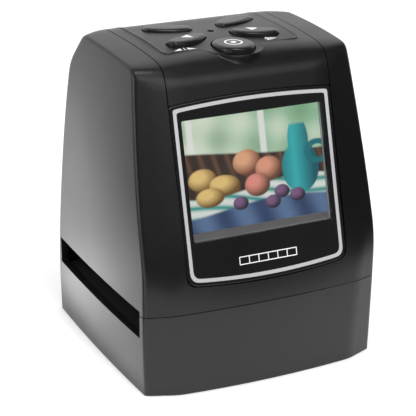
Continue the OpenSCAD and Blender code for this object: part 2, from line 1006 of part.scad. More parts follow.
module sensor_ribbon() color("tan") {
    ribbon(0, 12, 0.3, [[slot_y - 6, sensor_board_z + board_t + 0.15],
        [slot_y - 9, sensor_board_z + board_t + 0.15],
        [slot_y - 12, sensor_board_z + board_t + 2], main_board_rear(12, 1.6),
        main_board_rear(12, 0.3)]);
}

module port_ribbon() color("tan") {
    ribbon(24.6, 3, 0.3, [[port_front + 5, port_z + 0.15], [port_front + 2.5, port_z + 0.15],
        [tower_rear - 2, port_z + 3], [tower_front - 2, port_z + 8],
        main_board_rear(-16, 2), main_board_rear(-16, 0.3)]);
}

module light_cable() color("firebrick") {
    for (y = [-1, 1])
        translate([light_w / 2 + 0.6, slot_y + y, light_board_z + board_t + 0.5]) {
            cylinder(r = 0.5, h = channel_floor - guide_t - light_box_z - 0.8, $fn = 24);
            translate([-2, 0, 0])
                rotate([0, 90, 0])
                    cylinder(r = 0.5, h = 2, $fn = 24);
        }
}

module screw(head_r, head_h, shank_r, shank_l) {
    difference() {
        cylinder(r = head_r, h = head_h, $fn = 48);
        for (a = [0, 90])
            rotate([0, 0, a])
                translate([-head_r * 0.6, -0.25, -1])
                    cube([head_r * 1.2, 0.5, 1.6]);
    }
    translate([0, 0, head_h])
        cylinder(r = shank_r, h = shank_l, $fn = 32);
}

module base_screws() color("gray") {
    both_sides(base_screws_at)
        translate([0, 0, foot_h + 0.2])
            screw(base_screw_head_r, 1.8, base_screw_r, base_screw_len - 1);
}

module guide_screws() color("gray") {
    both_sides([[guide_screw_x, rail_front - rail_d / 2], [guide_screw_x, rail_rear + rail_d / 2]])
        translate([0, 0, channel_roof + guide_t + 1.3])
            mirror([0, 0, 1])
                screw(1.8, 1.3, guide_screw_r, channel_roof + guide_t - channel_floor - 0.5);
}

module tower_screws() color("gray") {
    both_sides([for (y = tower_screw_y) [gate_w / 2 + 7, y]])
        translate([0, 0, tower_z + tower_flange_t + 1.3])
            mirror([0, 0, 1])
                screw(2, 1.3, 1, tower_flange_t + 1.6);
}

module sensor_screws() color("gray") {
    for (x = [-9.3, 9.3])
        translate([x, slot_y, sensor_board_z + board_t + 1])
            mirror([0, 0, 1])
                screw(1.6, 1, 0.7, board_t + 2.6);
}

module button_board_screws() color("gray") {
    both_sides(board_screws_at)
        translate([0, 0, button_board_z - 1.2])
            screw(1.9, 1.2, 0.8, board_t + 4);
}

module rubber_feet() color([0.2, 0.2, 0.2]) {
    both_sides(feet_at)
        cylinder(r = foot_r, h = foot_t, $fn = 64);
}

lower_housing();
upper_housing();
top_cover();
screen_mask();
frame_trim();
window_pane();
lcd_gasket();
lcd_frame();
lcd_glass();
main_board();
main_chips();
scan_button();
mirror_button();
flip_button();
mode_button();
power_button();
scan_plunger();
mirror_plunger();
flip_plunger();
mode_plunger();
power_plunger();
button_board();
switch_bodies();
status_led();
light_pipe();
film_guide_bottom();
film_guide_top();
light_diffuser();
light_box();
backlight_board();
backlight_leds();
optics_tower();
lens_holder();
lens_barrel();
lens_elements();
sensor_board();
image_sensor();
port_board();
usb_socket();
av_jack();
card_socket();
button_ribbon();
sensor_ribbon();
port_ribbon();
light_cable();
base_screws();
guide_screws();
tower_screws();
sensor_screws();
button_board_screws();
rubber_feet();
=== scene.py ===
# %% [markdown]
# # A desktop film scanner, dressed around its CAD frame
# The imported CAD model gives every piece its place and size. This script adds the looks: the three
# outer mouldings and the five buttons are made again as smooth shells with rounded creases, and
# all other pieces keep their CAD shape and get a finish. All surfaces are worked out in
# millimetres and turned into metres when they become meshes.

# %% Load the frame and keep its box
import json
import math
import bmesh
import bpy
import numpy as np
from mathutils import Matrix, Vector

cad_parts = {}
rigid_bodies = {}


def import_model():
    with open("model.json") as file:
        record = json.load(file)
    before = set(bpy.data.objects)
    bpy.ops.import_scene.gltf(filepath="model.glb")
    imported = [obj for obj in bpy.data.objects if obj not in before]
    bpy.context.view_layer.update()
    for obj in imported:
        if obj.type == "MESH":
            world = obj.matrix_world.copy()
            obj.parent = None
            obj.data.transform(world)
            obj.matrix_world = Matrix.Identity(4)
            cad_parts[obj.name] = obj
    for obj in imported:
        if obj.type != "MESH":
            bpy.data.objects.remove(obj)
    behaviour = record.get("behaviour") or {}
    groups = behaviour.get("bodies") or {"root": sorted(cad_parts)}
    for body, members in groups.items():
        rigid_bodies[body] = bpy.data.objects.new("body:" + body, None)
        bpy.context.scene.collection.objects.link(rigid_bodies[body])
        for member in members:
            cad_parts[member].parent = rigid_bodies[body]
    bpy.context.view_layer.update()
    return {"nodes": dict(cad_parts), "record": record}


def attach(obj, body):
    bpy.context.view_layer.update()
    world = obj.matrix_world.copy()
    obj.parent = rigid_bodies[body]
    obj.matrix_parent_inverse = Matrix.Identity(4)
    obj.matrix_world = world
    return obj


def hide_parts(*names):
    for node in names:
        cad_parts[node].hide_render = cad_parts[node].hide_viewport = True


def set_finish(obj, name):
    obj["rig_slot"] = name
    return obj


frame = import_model()
MM = 0.001
HOUSING = "housing"
RIGHT, UP = np.array([1.0, 0.0, 0.0]), np.array([0.0, 0.0, 1.0])

# %% [markdown]
# ## Driving sizes
# These are the sizes that the mouldings were drawn with, in millimetres. The front of the scanner
# looks along -Y. Angles are in degrees.

# %% Sizes of the body
BODY_D = 83.0
BASE_HALF_W = 40.9
ROOF_Z = 101.5
FOOT_H = 0.8
BASE_LOW = 0.3
WALL = 2.4
SEAM = 0.4
COVER_HALF_W = 28.15
FOLD_Z = ROOF_Z - 13.6
FOLD_Y = 17.05 - BODY_D / 2
SCREEN_LEAN = 15.8
SCREEN_Z = 65.4
SCREEN_Y = FOLD_Y - (FOLD_Z - SCREEN_Z) * math.tan(math.radians(SCREEN_LEAN)) + 0.41
REAR_BULGE = 2.4
REAR_BULGE_Z = 26.0
ROOF_FALL = 5.0
SLOPE_FROM_Y = FOLD_Y + 12.55
SLOPE_TOP_Z = ROOF_Z - 0.8
FRONT_FALL = 7.5
FRONT_SLOPE = math.tan(math.radians(FRONT_FALL))
SLOT_Z = 18.3
SLOT_TOP = 27.1
SLOT_FRONT = -32.4
SLOT_REAR = 33.8
PARTING_Y = -35.1
PARTING_Z = 25.8
PARTING_SLOPE = math.tan(math.radians(5.9))

print("body:", 2 * BASE_HALF_W, "by", BODY_D, "by", ROOF_Z, "mm")

# %% [markdown]
# ## The body as one field
# Think of the body as a block of clay with many straight and slightly bulging cuts. Each cut is a
# function that tells how far a point lies outside it: the distance to a leaning plane, to a large
# cylinder or to a doughnut. The largest of them tells how far the point lies outside the body.
# A plain maximum gives knife-sharp creases, so a soft maximum is used: where two cuts are nearly
# equal it adds a little, which shaves the crease round, as a mould maker does.

# %% The cuts: a foot on each cut, its azimuth, the radius of a bulging one, and its lean
FRONT_BARREL = ((0, 0.03 - BODY_D / 2, FOOT_H), 0, 277, 2.14)
REAR_BARREL = ((0, BODY_D / 2 - 0.03, FOOT_H), 180, 277, 0.9)
SIDE_BARREL = ((BASE_HALF_W + 0.5, -59.6, FOOT_H), 90, 880, -2.4)
FRONT_FACET = ((BASE_HALF_W - 0.35, 5.7 - BODY_D / 2, FOOT_H), 22.1, 0.6)
FOLD_FACET = ((28.4, FOLD_Y, FOLD_Z), 16.7, 16.1)
REAR_X, REAR_Y, REAR_AZIMUTH = BASE_HALF_W - 4.9, BODY_D / 2 - 7.1, 180 - 35
REAR_FACETS = (((REAR_X, REAR_Y, FOOT_H), REAR_AZIMUTH, 0.6),
               ((REAR_X + 0.3, REAR_Y - 7, ROOF_Z - 15.1), REAR_AZIMUTH, 7),
               ((REAR_X + 0.4, REAR_Y - 12, ROOF_Z - 6.7), REAR_AZIMUTH, 35))
DOUGHNUT_AT = (BASE_HALF_W + 0.9, -39.7, 16.5)
DOUGHNUT_LONG_R, DOUGHNUT_SHORT_R = 1149.0, 461.0
FACE_SOFTNESS, ROOF_SOFTNESS, FACET_SOFTNESS = 3, 2, 0.6
CREASE_SOFTNESS, SIDE_SOFTNESS = 1.7, 1.0
print("flat cuts at the rear corners:", len(REAR_FACETS), "on each side")

# %% Helpers to turn points into a cut's own frame
def xyz(x, y, z):
    """Points from three coordinates, each spread to the common shape of all three."""
    return np.stack(np.broadcast_arrays(x, y, z), -1)


def turn(axis, degrees):
    """Matrix of a right-handed turn about X (0), Y (1) or Z (2)."""
    c, s = math.cos(math.radians(degrees)), math.sin(math.radians(degrees))
    i, j = [(1, 2), (2, 0), (0, 1)][axis]
    m = np.eye(3)
    m[i, i], m[i, j], m[j, i], m[j, j] = c, -s, s, c
    return m


def seen_from(points, origin, matrix):
    """Coordinates in a turned frame: the step from its origin, times the matrix's columns."""
    return (points - np.array(origin)) @ matrix


def leaning_plane(points, foot, azimuth, lean):
    """How far a point stands in front of a plane that faces azimuth and leans back."""
    return -seen_from(points, foot, turn(2, azimuth) @ turn(0, -lean))[..., 1]


def leaning_barrel(points, foot, azimuth, radius, lean):
    """Distance to the axis of a large leaning cylinder, minus its radius."""
    q = seen_from(points, foot, turn(2, azimuth) @ turn(0, -lean))
    return np.hypot(q[..., 0], q[..., 1] - radius) - radius


def falling_plane(points, foot, fall, rise):
    """How far a point stands above a plane that falls to the right and rises to the rear."""
    return seen_from(points, foot, turn(0, rise) @ turn(1, fall))[..., 2]


def bulging_side(points):
    """Distance to a doughnut on its side: to the ring at its middle, minus its tube's radius."""
    q = seen_from(points, DOUGHNUT_AT, turn(0, 45))
    ring_r = DOUGHNUT_LONG_R - DOUGHNUT_SHORT_R
    ring = np.hypot(q[..., 0] + DOUGHNUT_LONG_R, q[..., 1]) - ring_r
    return np.hypot(ring, q[..., 2]) - DOUGHNUT_SHORT_R


print("a point 10 mm in front of a plane at the origin:",
      leaning_plane(np.array([0.0, -10.0, 0.0]), (0, 0, 0), 0, 0))


# %% The outline seen from the side
SIDE_EDGES = [  # y, z and direction of each edge, and the radius of the corner after it
    (BODY_D / 2 - 0.5, 30, 90 + 7.6, 20),
    (0, ROOF_Z, 180, 150),
    (SLOPE_FROM_Y, SLOPE_TOP_Z, 180 + FRONT_FALL, 11),
    (FOLD_Y, FOLD_Z, 270 - 16.7, 0),
]


def side_outline(points):
    """Distance to a rounded outline: the largest distance to its edges, and in the wedge of a
    rounded corner the distance to the corner's centre minus its radius."""
    y, z = points[..., 1], points[..., 2]
    far = np.maximum.reduce([
        (y - ey) * math.sin(math.radians(angle)) - (z - ez) * math.cos(math.radians(angle))
        for ey, ez, angle, _ in SIDE_EDGES])
    for p, q in zip(SIDE_EDGES[:-1], SIDE_EDGES[1:]):
        a, b = math.radians(p[2]), math.radians(q[2])
        lines = np.array([[math.sin(a), -math.cos(a)], [math.sin(b), -math.cos(b)]])
        levels = np.array([p[0] * math.sin(a) - p[1] * math.cos(a) - p[3],
                           q[0] * math.sin(b) - q[1] * math.cos(b) - p[3]])
        cy, cz = np.linalg.solve(lines, levels)
        past_first = (y - cy) * math.cos(a) + (z - cz) * math.sin(a) > 0
        before_next = (y - cy) * math.cos(b) + (z - cz) * math.sin(b) < 0
        far = np.where(past_first & before_next, np.hypot(y - cy, z - cz) - p[3], far)
    return far


def soft_max(a, b, width):
    """The larger value, plus a hump where the two are within width of each other."""
    hump = np.clip(width - np.abs(a - b), 0, None) / width
    return np.maximum(a, b) + hump * hump * width / 4


def soft_min(a, b, width):
    """The smaller value, eased as the soft maximum is."""
    return -soft_max(-a, -b, width)


def soft_step(value, width):
    """From 0 to 1 as a value passes zero, over the given width, with eased ends."""
    t = np.clip(value / width + 0.5, 0, 1)
    return t * t * (3 - 2 * t)


def body_field(points):
    """Soft maximum of all cuts; zero on the skin, negative inside, alike on both sides."""
    p = points * 1.0
    p[..., 0] = np.abs(p[..., 0])
    field = soft_max(side_outline(p), leaning_barrel(p, *FRONT_BARREL), FACE_SOFTNESS)
    field = soft_max(field, leaning_barrel(p, *REAR_BARREL), FACE_SOFTNESS)
    roof = soft_max(falling_plane(p, (COVER_HALF_W, 0, ROOF_Z), ROOF_FALL, 0),
                    falling_plane(p, (COVER_HALF_W, SLOPE_FROM_Y, SLOPE_TOP_Z), ROOF_FALL,
                                  FRONT_FALL), FACE_SOFTNESS)
    field = soft_max(field, roof, ROOF_SOFTNESS)
    field = soft_max(field, leaning_plane(p, *FRONT_FACET), FACET_SOFTNESS)
    rear, *above = (leaning_plane(p, *facet) for facet in REAR_FACETS)
    rear = rear - REAR_BULGE + (p[..., 2] - REAR_BULGE_Z) ** 2 / 1000
    for cut in (leaning_plane(p, *FOLD_FACET), rear, *above):
        field = soft_max(field, cut, CREASE_SOFTNESS)
    side = soft_max(bulging_side(p), leaning_barrel(p, *SIDE_BARREL), FACE_SOFTNESS)
    return soft_max(field, side, SIDE_SOFTNESS)


print("field in the middle of the body:", round(float(body_field(np.array([0.0, 0, 50]))), 2))

# %% [markdown]
# ## Draping a net over the field
# A shell is a net of points, each pulled along its own direction until it meets the skin. The
# place on that line is found by halving: the answer lies between a point that is inside and one
# that is outside, and each step keeps the half that holds it. The same net, pulled to the field
# plus the wall thickness, gives the inside of the moulding.

# %% Drape points onto the skin
HALVINGS = 24


def halved(outside, shape, reach, halvings=HALVINGS):
    """How far each line can go, between 0 and reach, before it is outside. Each step tests the
    middle between a length that is inside and one that is outside."""
    low, high = np.zeros(shape), np.full(shape, reach)
    for _ in range(halvings):
        middle = (low + high) / 2
        out = outside(middle)
        low, high = np.where(out, low, middle), np.where(out, middle, high)
    return low


def drape(points, directions, inset=0.0, reach=30.0):
    """Moves points along directions to where the field equals minus inset."""
    unit = directions / np.linalg.norm(directions, axis=-1, keepdims=True)
    unit = np.broadcast_to(unit, points.shape)
    far = halved(lambda t: body_field(points + t[..., None] * unit) + inset > 0,
                 points.shape[:-1], reach)
    return points + far[..., None] * unit


def mix(a, b, share):
    """Straight blend from a to b."""
    return a + (b - a) * share


def along(points, count):
    """Points spread evenly by length along a line of points."""
    steps = np.linalg.norm(np.diff(points, axis=0), axis=1)
    length = np.concatenate([[0], np.cumsum(steps)])
    at = np.linspace(0, length[-1], count)
    return np.stack([np.interp(at, length, points[:, i]) for i in range(points.shape[1])], -1)


def outward(net):
    """True when a net's faces look the way in which the field grows. The normals are cross
    products of each cell's two diagonals."""
    a, b = net[1:, 1:] - net[:-1, :-1], net[:-1, 1:] - net[1:, :-1]
    normal = np.cross(a, b)
    size = np.linalg.norm(normal, axis=-1, keepdims=True) + 1e-9
    middle = (net[1:, 1:] + net[:-1, :-1]) / 2
    grows = body_field(middle + 0.2 * normal / size) - body_field(middle - 0.2 * normal / size)
    return (grows * size[..., 0]).sum() > 0


def net_cells(rows, columns, start=0):
    """The four-cornered faces of a net, whose points are numbered row by row from start."""
    n = start + np.arange(rows * columns).reshape(rows, columns)
    return np.stack([n[:-1, :-1], n[1:, :-1], n[1:, 1:], n[:-1, 1:]], -1).reshape(-1, 4)


def weld(patches):
    """Joins nets that share edges: equal points of the outer skin get one number, and the
    inner skin follows it. Each net is first turned to look outwards. Returns the outer points,
    the inner points and the four-cornered faces."""
    patches = [p if outward(p[0]) else [net[::-1] for net in p] for p in patches]
    outer = np.concatenate([p[0].reshape(-1, 3) for p in patches])
    inner = np.concatenate([p[1].reshape(-1, 3) for p in patches])
    faces, start = [], 0
    for p in patches:
        faces.append(net_cells(*p[0].shape[:2], start))
        start += p[0].shape[0] * p[0].shape[1]
    _, first, number = np.unique(np.round(outer, 3) + 0.0, axis=0, return_index=True,
                                 return_inverse=True)
    faces = number.reshape(-1)[np.concatenate(faces)]
    return outer[first], inner[first], faces


def thick(outer, inner, faces):
    """A closed shell: the outer skin, the inner skin turned round, and a rim of faces along
    every edge that only one face of the skin uses."""
    count = len(outer)
    edges = np.concatenate([faces[:, [i, (i + 1) % 4]] for i in range(4)])
    edges = edges[edges[:, 0] != edges[:, 1]]
    _, where, uses = np.unique(np.sort(edges, axis=1), axis=0, return_inverse=True,
                               return_counts=True)
    rim = edges[uses[where.reshape(-1)] == 1]
    rim_faces = np.stack([rim[:, 1], rim[:, 0], rim[:, 0] + count, rim[:, 1] + count], -1)
    return (np.concatenate([outer, inner]),
            np.concatenate([faces, faces[:, ::-1] + count, rim_faces]).tolist())


def both_halves(nets_of_skin):
    """Pairs each net of the outer skin with the same net of the inner skin, and adds their
    mirror images on the left."""
    flip = np.array([-1.0, 1.0, 1.0])
    patches = [list(pair) for pair in zip(nets_of_skin(0.0), nets_of_skin(WALL))]
    return patches + [[net * flip for net in patch] for patch in patches]


def new_piece(name, points, faces, slot=None):
    """Makes a mesh from points in millimetres and faces with any number of corners. A face that
    repeats a corner loses it."""
    rings = [list(dict.fromkeys(face)) for face in faces]
    mesh = bpy.data.meshes.new(name)
    mesh.from_pydata((points * MM).tolist(), [], [r for r in rings if len(r) > 2])
    mesh.validate()
    mesh.update()
    piece = bpy.data.objects.new(name, mesh)
    bpy.context.collection.objects.link(piece)
    if slot:
        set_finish(piece, slot)
    return piece


def shell(name, patches, slot):
    """A closed shell from pairs of nets."""
    return new_piece(name, *thick(*weld(patches)), slot)


def fix_normals(piece):
    """Turns a closed mesh's faces to look outwards, as a mirrored outline turns them inwards."""
    work = bmesh.new()
    work.from_mesh(piece.data)
    bmesh.ops.recalc_face_normals(work, faces=work.faces)
    work.to_mesh(piece.data)
    work.free()


def smooth(piece, sharp_over=32):
    """Smooth shading, with edges that bend by more than sharp_over kept sharp."""
    piece.data.shade_smooth()
    piece.data.set_sharp_from_angle(angle=math.radians(sharp_over))


def round_edges(piece, width, over=40):
    """A Bevel modifier on all edges that bend by more than the given angle."""
    bevel = piece.modifiers.new("rounded_edges", "BEVEL")
    bevel.width, bevel.segments = width * MM, 2
    bevel.limit_method, bevel.angle_limit = "ANGLE", math.radians(over)


def carve(piece, cutters):
    """Cuts closed shapes out of a piece with a Boolean, then keeps only the finished mesh."""
    for cutter in cutters:
        cut = piece.modifiers.new("cut", "BOOLEAN")
        cut.operation, cut.solver, cut.object = "DIFFERENCE", "EXACT", cutter
    finished = piece.evaluated_get(bpy.context.evaluated_depsgraph_get())
    mesh = bpy.data.meshes.new_from_object(finished)
    piece.modifiers.clear()
    piece.data = mesh
    for cutter in cutters:
        bpy.data.objects.remove(cutter)


print("drape, weld and thick are ready")

# %% [markdown]
# ## The lower housing
# The base is a tray. Its wall is carried round a loop of lines that look outwards: forwards at
# the front, fanning out at the corners and sideways along the film slot. One band of the wall
# goes up to the slot's lower edge all round. A second band goes on to the parting line, and it
# is left out along the slot, which is how the slot's floor and end walls come about.

# %% Lines that look outwards round the base
FRONT_FAN_X = 27.0
REAR_FAN_X = 24.0
BASE_ROWS = (18, 8, 3, 8)  # on the wall, over it in front and behind, and on the floor
BASE_STEPS = (14, 56, 44, 56, 14)
BASE_STOPS = ((0, SLOT_FRONT, 0), (FRONT_FAN_X, SLOT_FRONT, 0), (FRONT_FAN_X, SLOT_FRONT, 90),
              (REAR_FAN_X, SLOT_REAR, 90), (REAR_FAN_X, SLOT_REAR, 180), (0, SLOT_REAR, 180))


def parting(y):
    """Height of the sloping parting line at depth y."""
    return PARTING_Z - (y - PARTING_Y) * PARTING_SLOPE


def level(z):
    """A height that is the same at every depth."""
    return lambda y: z + 0 * y


def base_loop():
    """Right half of the loop, from the front's middle to the rear's: start points and
    directions in plan. Between two stops, x, y and the angle change in equal steps."""
    line = np.concatenate([
        np.stack([np.linspace(a, b, steps, endpoint=stop is BASE_STOPS[-1])
                  for a, b in zip(start, stop)], -1)
        for start, stop, steps in zip(BASE_STOPS[:-1], BASE_STOPS[1:], BASE_STEPS)])
    angle = np.radians(line[:, 2])
    return line[:, :2], np.stack([np.sin(angle), -np.cos(angle)], -1)


def wall_band(starts, looks, low, high, rows, inset):
    """Net of a wall between two heights. Each row's height runs straight with depth, so its
    lines look along that slope."""
    share = np.linspace(0, 1, rows)[None, :]
    y = starts[:, 1:2]
    height = mix(low(y), high(y), share)
    slope = mix(low(1.0) - low(0.0), high(1.0) - high(0.0), share)
    directions = xyz(looks[:, 0:1], looks[:, 1:2], looks[:, 1:2] * slope)
    return drape(xyz(starts[:, 0:1], y, height), directions, inset, reach=60.0)


def floor_net(edge, rows):
    """Net from the middle of the floor out to its edge, as the edge shrunk step by step."""
    share = np.linspace(0, 1, rows)[None, :, None]
    middle = edge * np.array([0.0, 0.0, 1.0])
    return mix(middle[:, None], edge[:, None], share)


def lower_housing_nets(inset):
    """Right half of one skin of the tray: its floor, its wall up to the slot's edge, and the
    wall's ends over that level at the front and the rear."""
    starts, looks = base_loop()
    slot_from, slot_to = sum(BASE_STEPS[:2]), sum(BASE_STEPS[:3])
    wall = wall_band(starts, looks, level(BASE_LOW + inset), level(SLOT_Z), BASE_ROWS[0], inset)
    ends = []
    for part, count in zip((slice(0, slot_from + 1), slice(slot_to, None)), BASE_ROWS[1:3]):
        ends.append(wall_band(starts[part], looks[part], level(SLOT_Z), parting, count, inset))
        ends[-1][:, 0] = wall[part, -1]
    return [floor_net(wall[:, 0], BASE_ROWS[3]), wall, *ends]


lower_housing = shell("lower_housing_shell", both_halves(lower_housing_nets), "housing_grey")
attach(lower_housing, HOUSING)
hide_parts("lower_housing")
smooth(lower_housing)
round_edges(lower_housing, 0.25)
print("lower housing:", len(lower_housing.data.vertices), "points")

# %% [markdown]
# ## The upper housing
# The upper moulding wraps the body like a saddle. Its net hangs on a spine, a line inside the
# right side wall that climbs the front, runs under the roof and comes down at the rear. From each
# point of the spine the lines fan out, from straight forwards (or up, or back) to straight
# sideways, so one fan rounds the whole crease. Three more nets join it: the side wall inside the
# spine, the strip from the spine to the screen and the top seam, and the band at the rear.

# %% The spine and the fan over the crease
SPINE_X = 30.0
SEAM_X = COVER_HALF_W + 0.3
COVER_END_Z = 45.0
SPINE = np.array([  # depth, height, and the angle by which the first line of the fan looks up
    (-33.0, 25.83, 5.9), (-32.9, SLOT_TOP, 6.5), (-31.0, 36.0, 12), (-28.6, 47.0, 16),
    (-25.6, 59.0, 16.3), (-21.0, 79.8, 17), (-18.8, 87.0, 22), (-17.0, 92.0, 38),
    (-14.0, 94.6, 62), (-9.0, 95.6, 80), (-2.8, 96.0, 84), (5.6, 96.3, 88), (12.0, 95.8, 97),
    (18.0, 93.0, 122), (22.0, 87.5, 146), (25.0, 78.0, 163), (27.6, 66.0, 172),
    (29.6, 55.0, 178), (31.2, COVER_END_Z - SEAM, 180), (32.2, 38.0, 180), (33.4, 30.0, 181),
    (34.0, SLOT_TOP, 182), (34.2, 18.9, 185.9)])
FAN_LINES = 58
SPINE_STOPS = (0, 1, 7, 13, 18, 21, 22)
SPINE_STEPS = (3, 44, 40, 28, 16, 8)


def spine_rows():
    """The spine cut into rows: between two stops the rows are spread evenly by length."""
    parts = [SPINE[:1]]
    for first, last, steps in zip(SPINE_STOPS[:-1], SPINE_STOPS[1:], SPINE_STEPS):
        parts.append(along(SPINE[first:last + 1] * [1, 1, 0.1], steps + 1)[1:] * [1, 1, 10])
    return np.concatenate(parts)


def spine_looks(rows):
    """Directions in the side view: forwards at 0 degrees, up at 90, back at 180."""
    angle = np.radians(rows[..., 2])
    return xyz(0.0, -np.cos(angle), np.sin(angle))


def fan_net(rows, inset):
    """Lines from the spine that turn from the spine's own direction to straight sideways."""
    turned = np.radians(np.linspace(0, 90, FAN_LINES))[:, None, None]
    directions = np.cos(turned) * spine_looks(rows)[None] + np.sin(turned) * RIGHT
    starts = np.broadcast_to(xyz(SPINE_X, rows[:, 0], rows[:, 1]), directions.shape)
    return drape(starts, directions, inset)


rows = spine_rows()
stop_rows = np.concatenate([[0], np.cumsum(SPINE_STEPS)])
print("rows on the spine:", len(rows), "stops at rows", stop_rows.tolist())

# %% The side wall and the ends of the wall beside the slot
SIDE_START_X = SPINE_X - 4


def side_nets(fan_edge, inset):
    """Side wall as a net between four edges: the slot's upper edge below, and the fan's last
    lines in front, above and behind. Two narrow nets beside the slot go down to the parting."""
    slot_front, top_front, top_rear, _, slot_rear = stop_rows[1:6]
    plan = rows[:, :2]
    front = plan[slot_front:top_front + 1]
    top = plan[top_front:top_rear + 1]
    rear = plan[top_rear:slot_rear + 1][::-1]
    bottom_y = np.concatenate([[front[0, 0]],
                               np.linspace(SLOT_FRONT, SLOT_REAR, len(top) - 2), [rear[0, 0]]])
    bottom = np.stack([bottom_y, np.full(len(top), SLOT_TOP)], -1)
    rear = along(rear, len(front))
    u = np.linspace(0, 1, len(top))[:, None, None]
    v = np.linspace(0, 1, len(front))[None, :, None]
    net = (mix(front[None], rear[None], u) + mix(bottom[:, None], top[:, None], v)
           - mix(mix(front[0], rear[0], u), mix(front[-1], rear[-1], u), v))
    wall = drape(xyz(SIDE_START_X, net[..., 0], net[..., 1]), RIGHT, inset)
    wall[0] = fan_edge[slot_front:top_front + 1]
    wall[:, -1] = fan_edge[top_front:top_rear + 1]
    wall[-1] = fan_edge[top_rear:slot_rear + 1][::-1]
    ends = []
    for edge_y, part, corner in ((SLOT_FRONT, slice(0, slot_front + 1), wall[1, 0]),
                                 (SLOT_REAR, slice(slot_rear, None), wall[-2, 0])):
        beside = plan[part]
        from_slot = np.abs(beside[:, 1] - SLOT_TOP)
        line = xyz(SIDE_START_X, edge_y, beside[:, 1]
                   + (beside[:, 0] - edge_y) * PARTING_SLOPE * (from_slot > 0.01))
        end = drape(line, RIGHT, inset)
        end[np.argmin(from_slot)] = corner
        ends.append(np.stack([fan_edge[part], end]))
    return [wall] + ends


print("side wall:", SPINE_STEPS[1], "by", SPINE_STEPS[2], "cells")

# %% The strip between the spine and the screen, and the band at the rear
SCREEN_BACK = 6.0
POCKET_END = -33.3
POCKET_CORNER = 3.4
LOW_ARCH_R = 222.0
SEAM_FROM_Z = 39.4
FOOT_STEPS, STRIP_STEPS, REAR_STEPS = 26, 10, 16


def screen_axes():
    """The tilted screen's own upward direction and the direction in which it faces."""
    lean = math.radians(SCREEN_LEAN)
    return (np.array([0.0, math.sin(lean), math.cos(lean)]),
            np.array([0.0, -math.cos(lean), math.sin(lean)]))


def on_screen(across, up, back=0.0):
    """Points of the screen plane, given across and up from the window's middle."""
    upwards, facing = screen_axes()
    middle = np.array([0.0, SCREEN_Y, SCREEN_Z])
    return middle + xyz(across, 0.0, 0.0) + up[..., None] * upwards - back * facing


def low_arch(across, lowest):
    """Height of the arched lower edge at each place across, from its lowest point."""
    return lowest + LOW_ARCH_R - np.sqrt(LOW_ARCH_R ** 2 - across ** 2)


def pocket_edge(count):
    """Points behind the lower right edge of the screen's pocket: its arch and its corner."""
    turned = np.radians(np.linspace(-90, 0, 25))
    corner_x = SEAM_X - POCKET_CORNER
    arched = np.linspace(0.0, corner_x, 24, endpoint=False)
    corner_up = low_arch(corner_x, POCKET_END) + POCKET_CORNER
    line = np.concatenate([np.stack([arched, low_arch(arched, POCKET_END)], -1),
                           np.stack([corner_x + POCKET_CORNER * np.cos(turned),
                                     corner_up + POCKET_CORNER * np.sin(turned)], -1)])
    line = along(line, count)
    return on_screen(line[:, 0], line[:, 1], SCREEN_BACK)


def strip_net(fan_first, inset):
    """Net from the pocket and the seam out to the parting line and the spine."""
    last = stop_rows[4]
    beside = rows[:last + 1]
    foot = np.linspace(0, SPINE_X, FOOT_STEPS + 1)[:-1]
    low = xyz(foot, beside[0, 0], beside[0, 1])
    outer = np.concatenate([low, np.insert(beside[:, :2], 0, SPINE_X, axis=1)])
    looks = spine_looks(np.concatenate([np.repeat(beside[:1], FOOT_STEPS, axis=0), beside]))
    inner, inner_looks = outer * 1.0, looks * 1.0
    inner[:, 0] = SEAM_X
    count = FOOT_STEPS + int(np.argmax(beside[:, 1] > SEAM_FROM_Z))
    inner[:count], inner_looks[:count] = pocket_edge(count + 1)[:-1], screen_axes()[1]
    share = np.linspace(0, 1, STRIP_STEPS + 1)[None, :, None]
    net = drape(mix(inner[:, None], outer[:, None], share),
                mix(inner_looks[:, None], looks[:, None], share), inset)
    net[FOOT_STEPS:, -1] = fan_first[:last + 1]
    return net


def rear_net(strip, fan_first, inset):
    """Net across the rear below the top cover, from the middle out to the spine."""
    first = stop_rows[4]
    across = np.concatenate([np.linspace(0, SEAM_X, REAR_STEPS + 1)[:-1],
                             np.linspace(SEAM_X, SPINE_X, strip.shape[1])])[:, None]
    low = rows[first:]
    net = drape(xyz(across, low[:, 0], low[:, 1]), spine_looks(low)[None], inset)
    net[REAR_STEPS:, 0] = strip[-1]
    net[-1] = fan_first[first:]
    return net


def upper_housing_nets(inset):
    """Right half of one skin of the upper housing."""
    fan = fan_net(rows, inset)
    strip = strip_net(fan[0], inset)
    return [fan, strip, rear_net(strip, fan[0], inset)] + side_nets(fan[-1], inset)


upper_housing = shell("upper_housing_shell", both_halves(upper_housing_nets), "housing_black")
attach(upper_housing, HOUSING)
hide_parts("upper_housing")
print("upper housing:", len(upper_housing.data.vertices), "points")

# %% [markdown]
# ## Sockets in the rear wall
# The upper housing's rear wall has three openings: for the USB socket, the card and the AV jack.
# A Boolean modifier is the natural tool for a hole through a finished wall: a closed prism of the
# opening's outline is made, taken away from the wall, and thrown away.

# %% Outlines as fields in the plane, and prisms cut from them
def soft_box(half_w, half_h, softness):
    """Field of a rectangle with rounded corners: a soft maximum of the two distances."""
    return lambda u, v: soft_max(np.abs(u) - half_w, np.abs(v) - half_h, softness)


def disc(radius):
    """Field of a circle: the distance to its middle minus its radius."""
    return lambda u, v: np.hypot(u, v) - radius


def outline(field, angles, grow=0.0, reach=60.0):
    """The field's edge, moved outwards by grow: on rays from the middle, by halving."""
    c, s = np.cos(angles), np.sin(angles)
    far = halved(lambda t: field(t * c, t * s) > grow, angles.shape, reach, HALVINGS + 6)
    return np.stack([far * c, far * s], -1)


def all_round(count):
    """Angles once round, in equal steps."""
    return np.arange(count) * 2 * np.pi / count


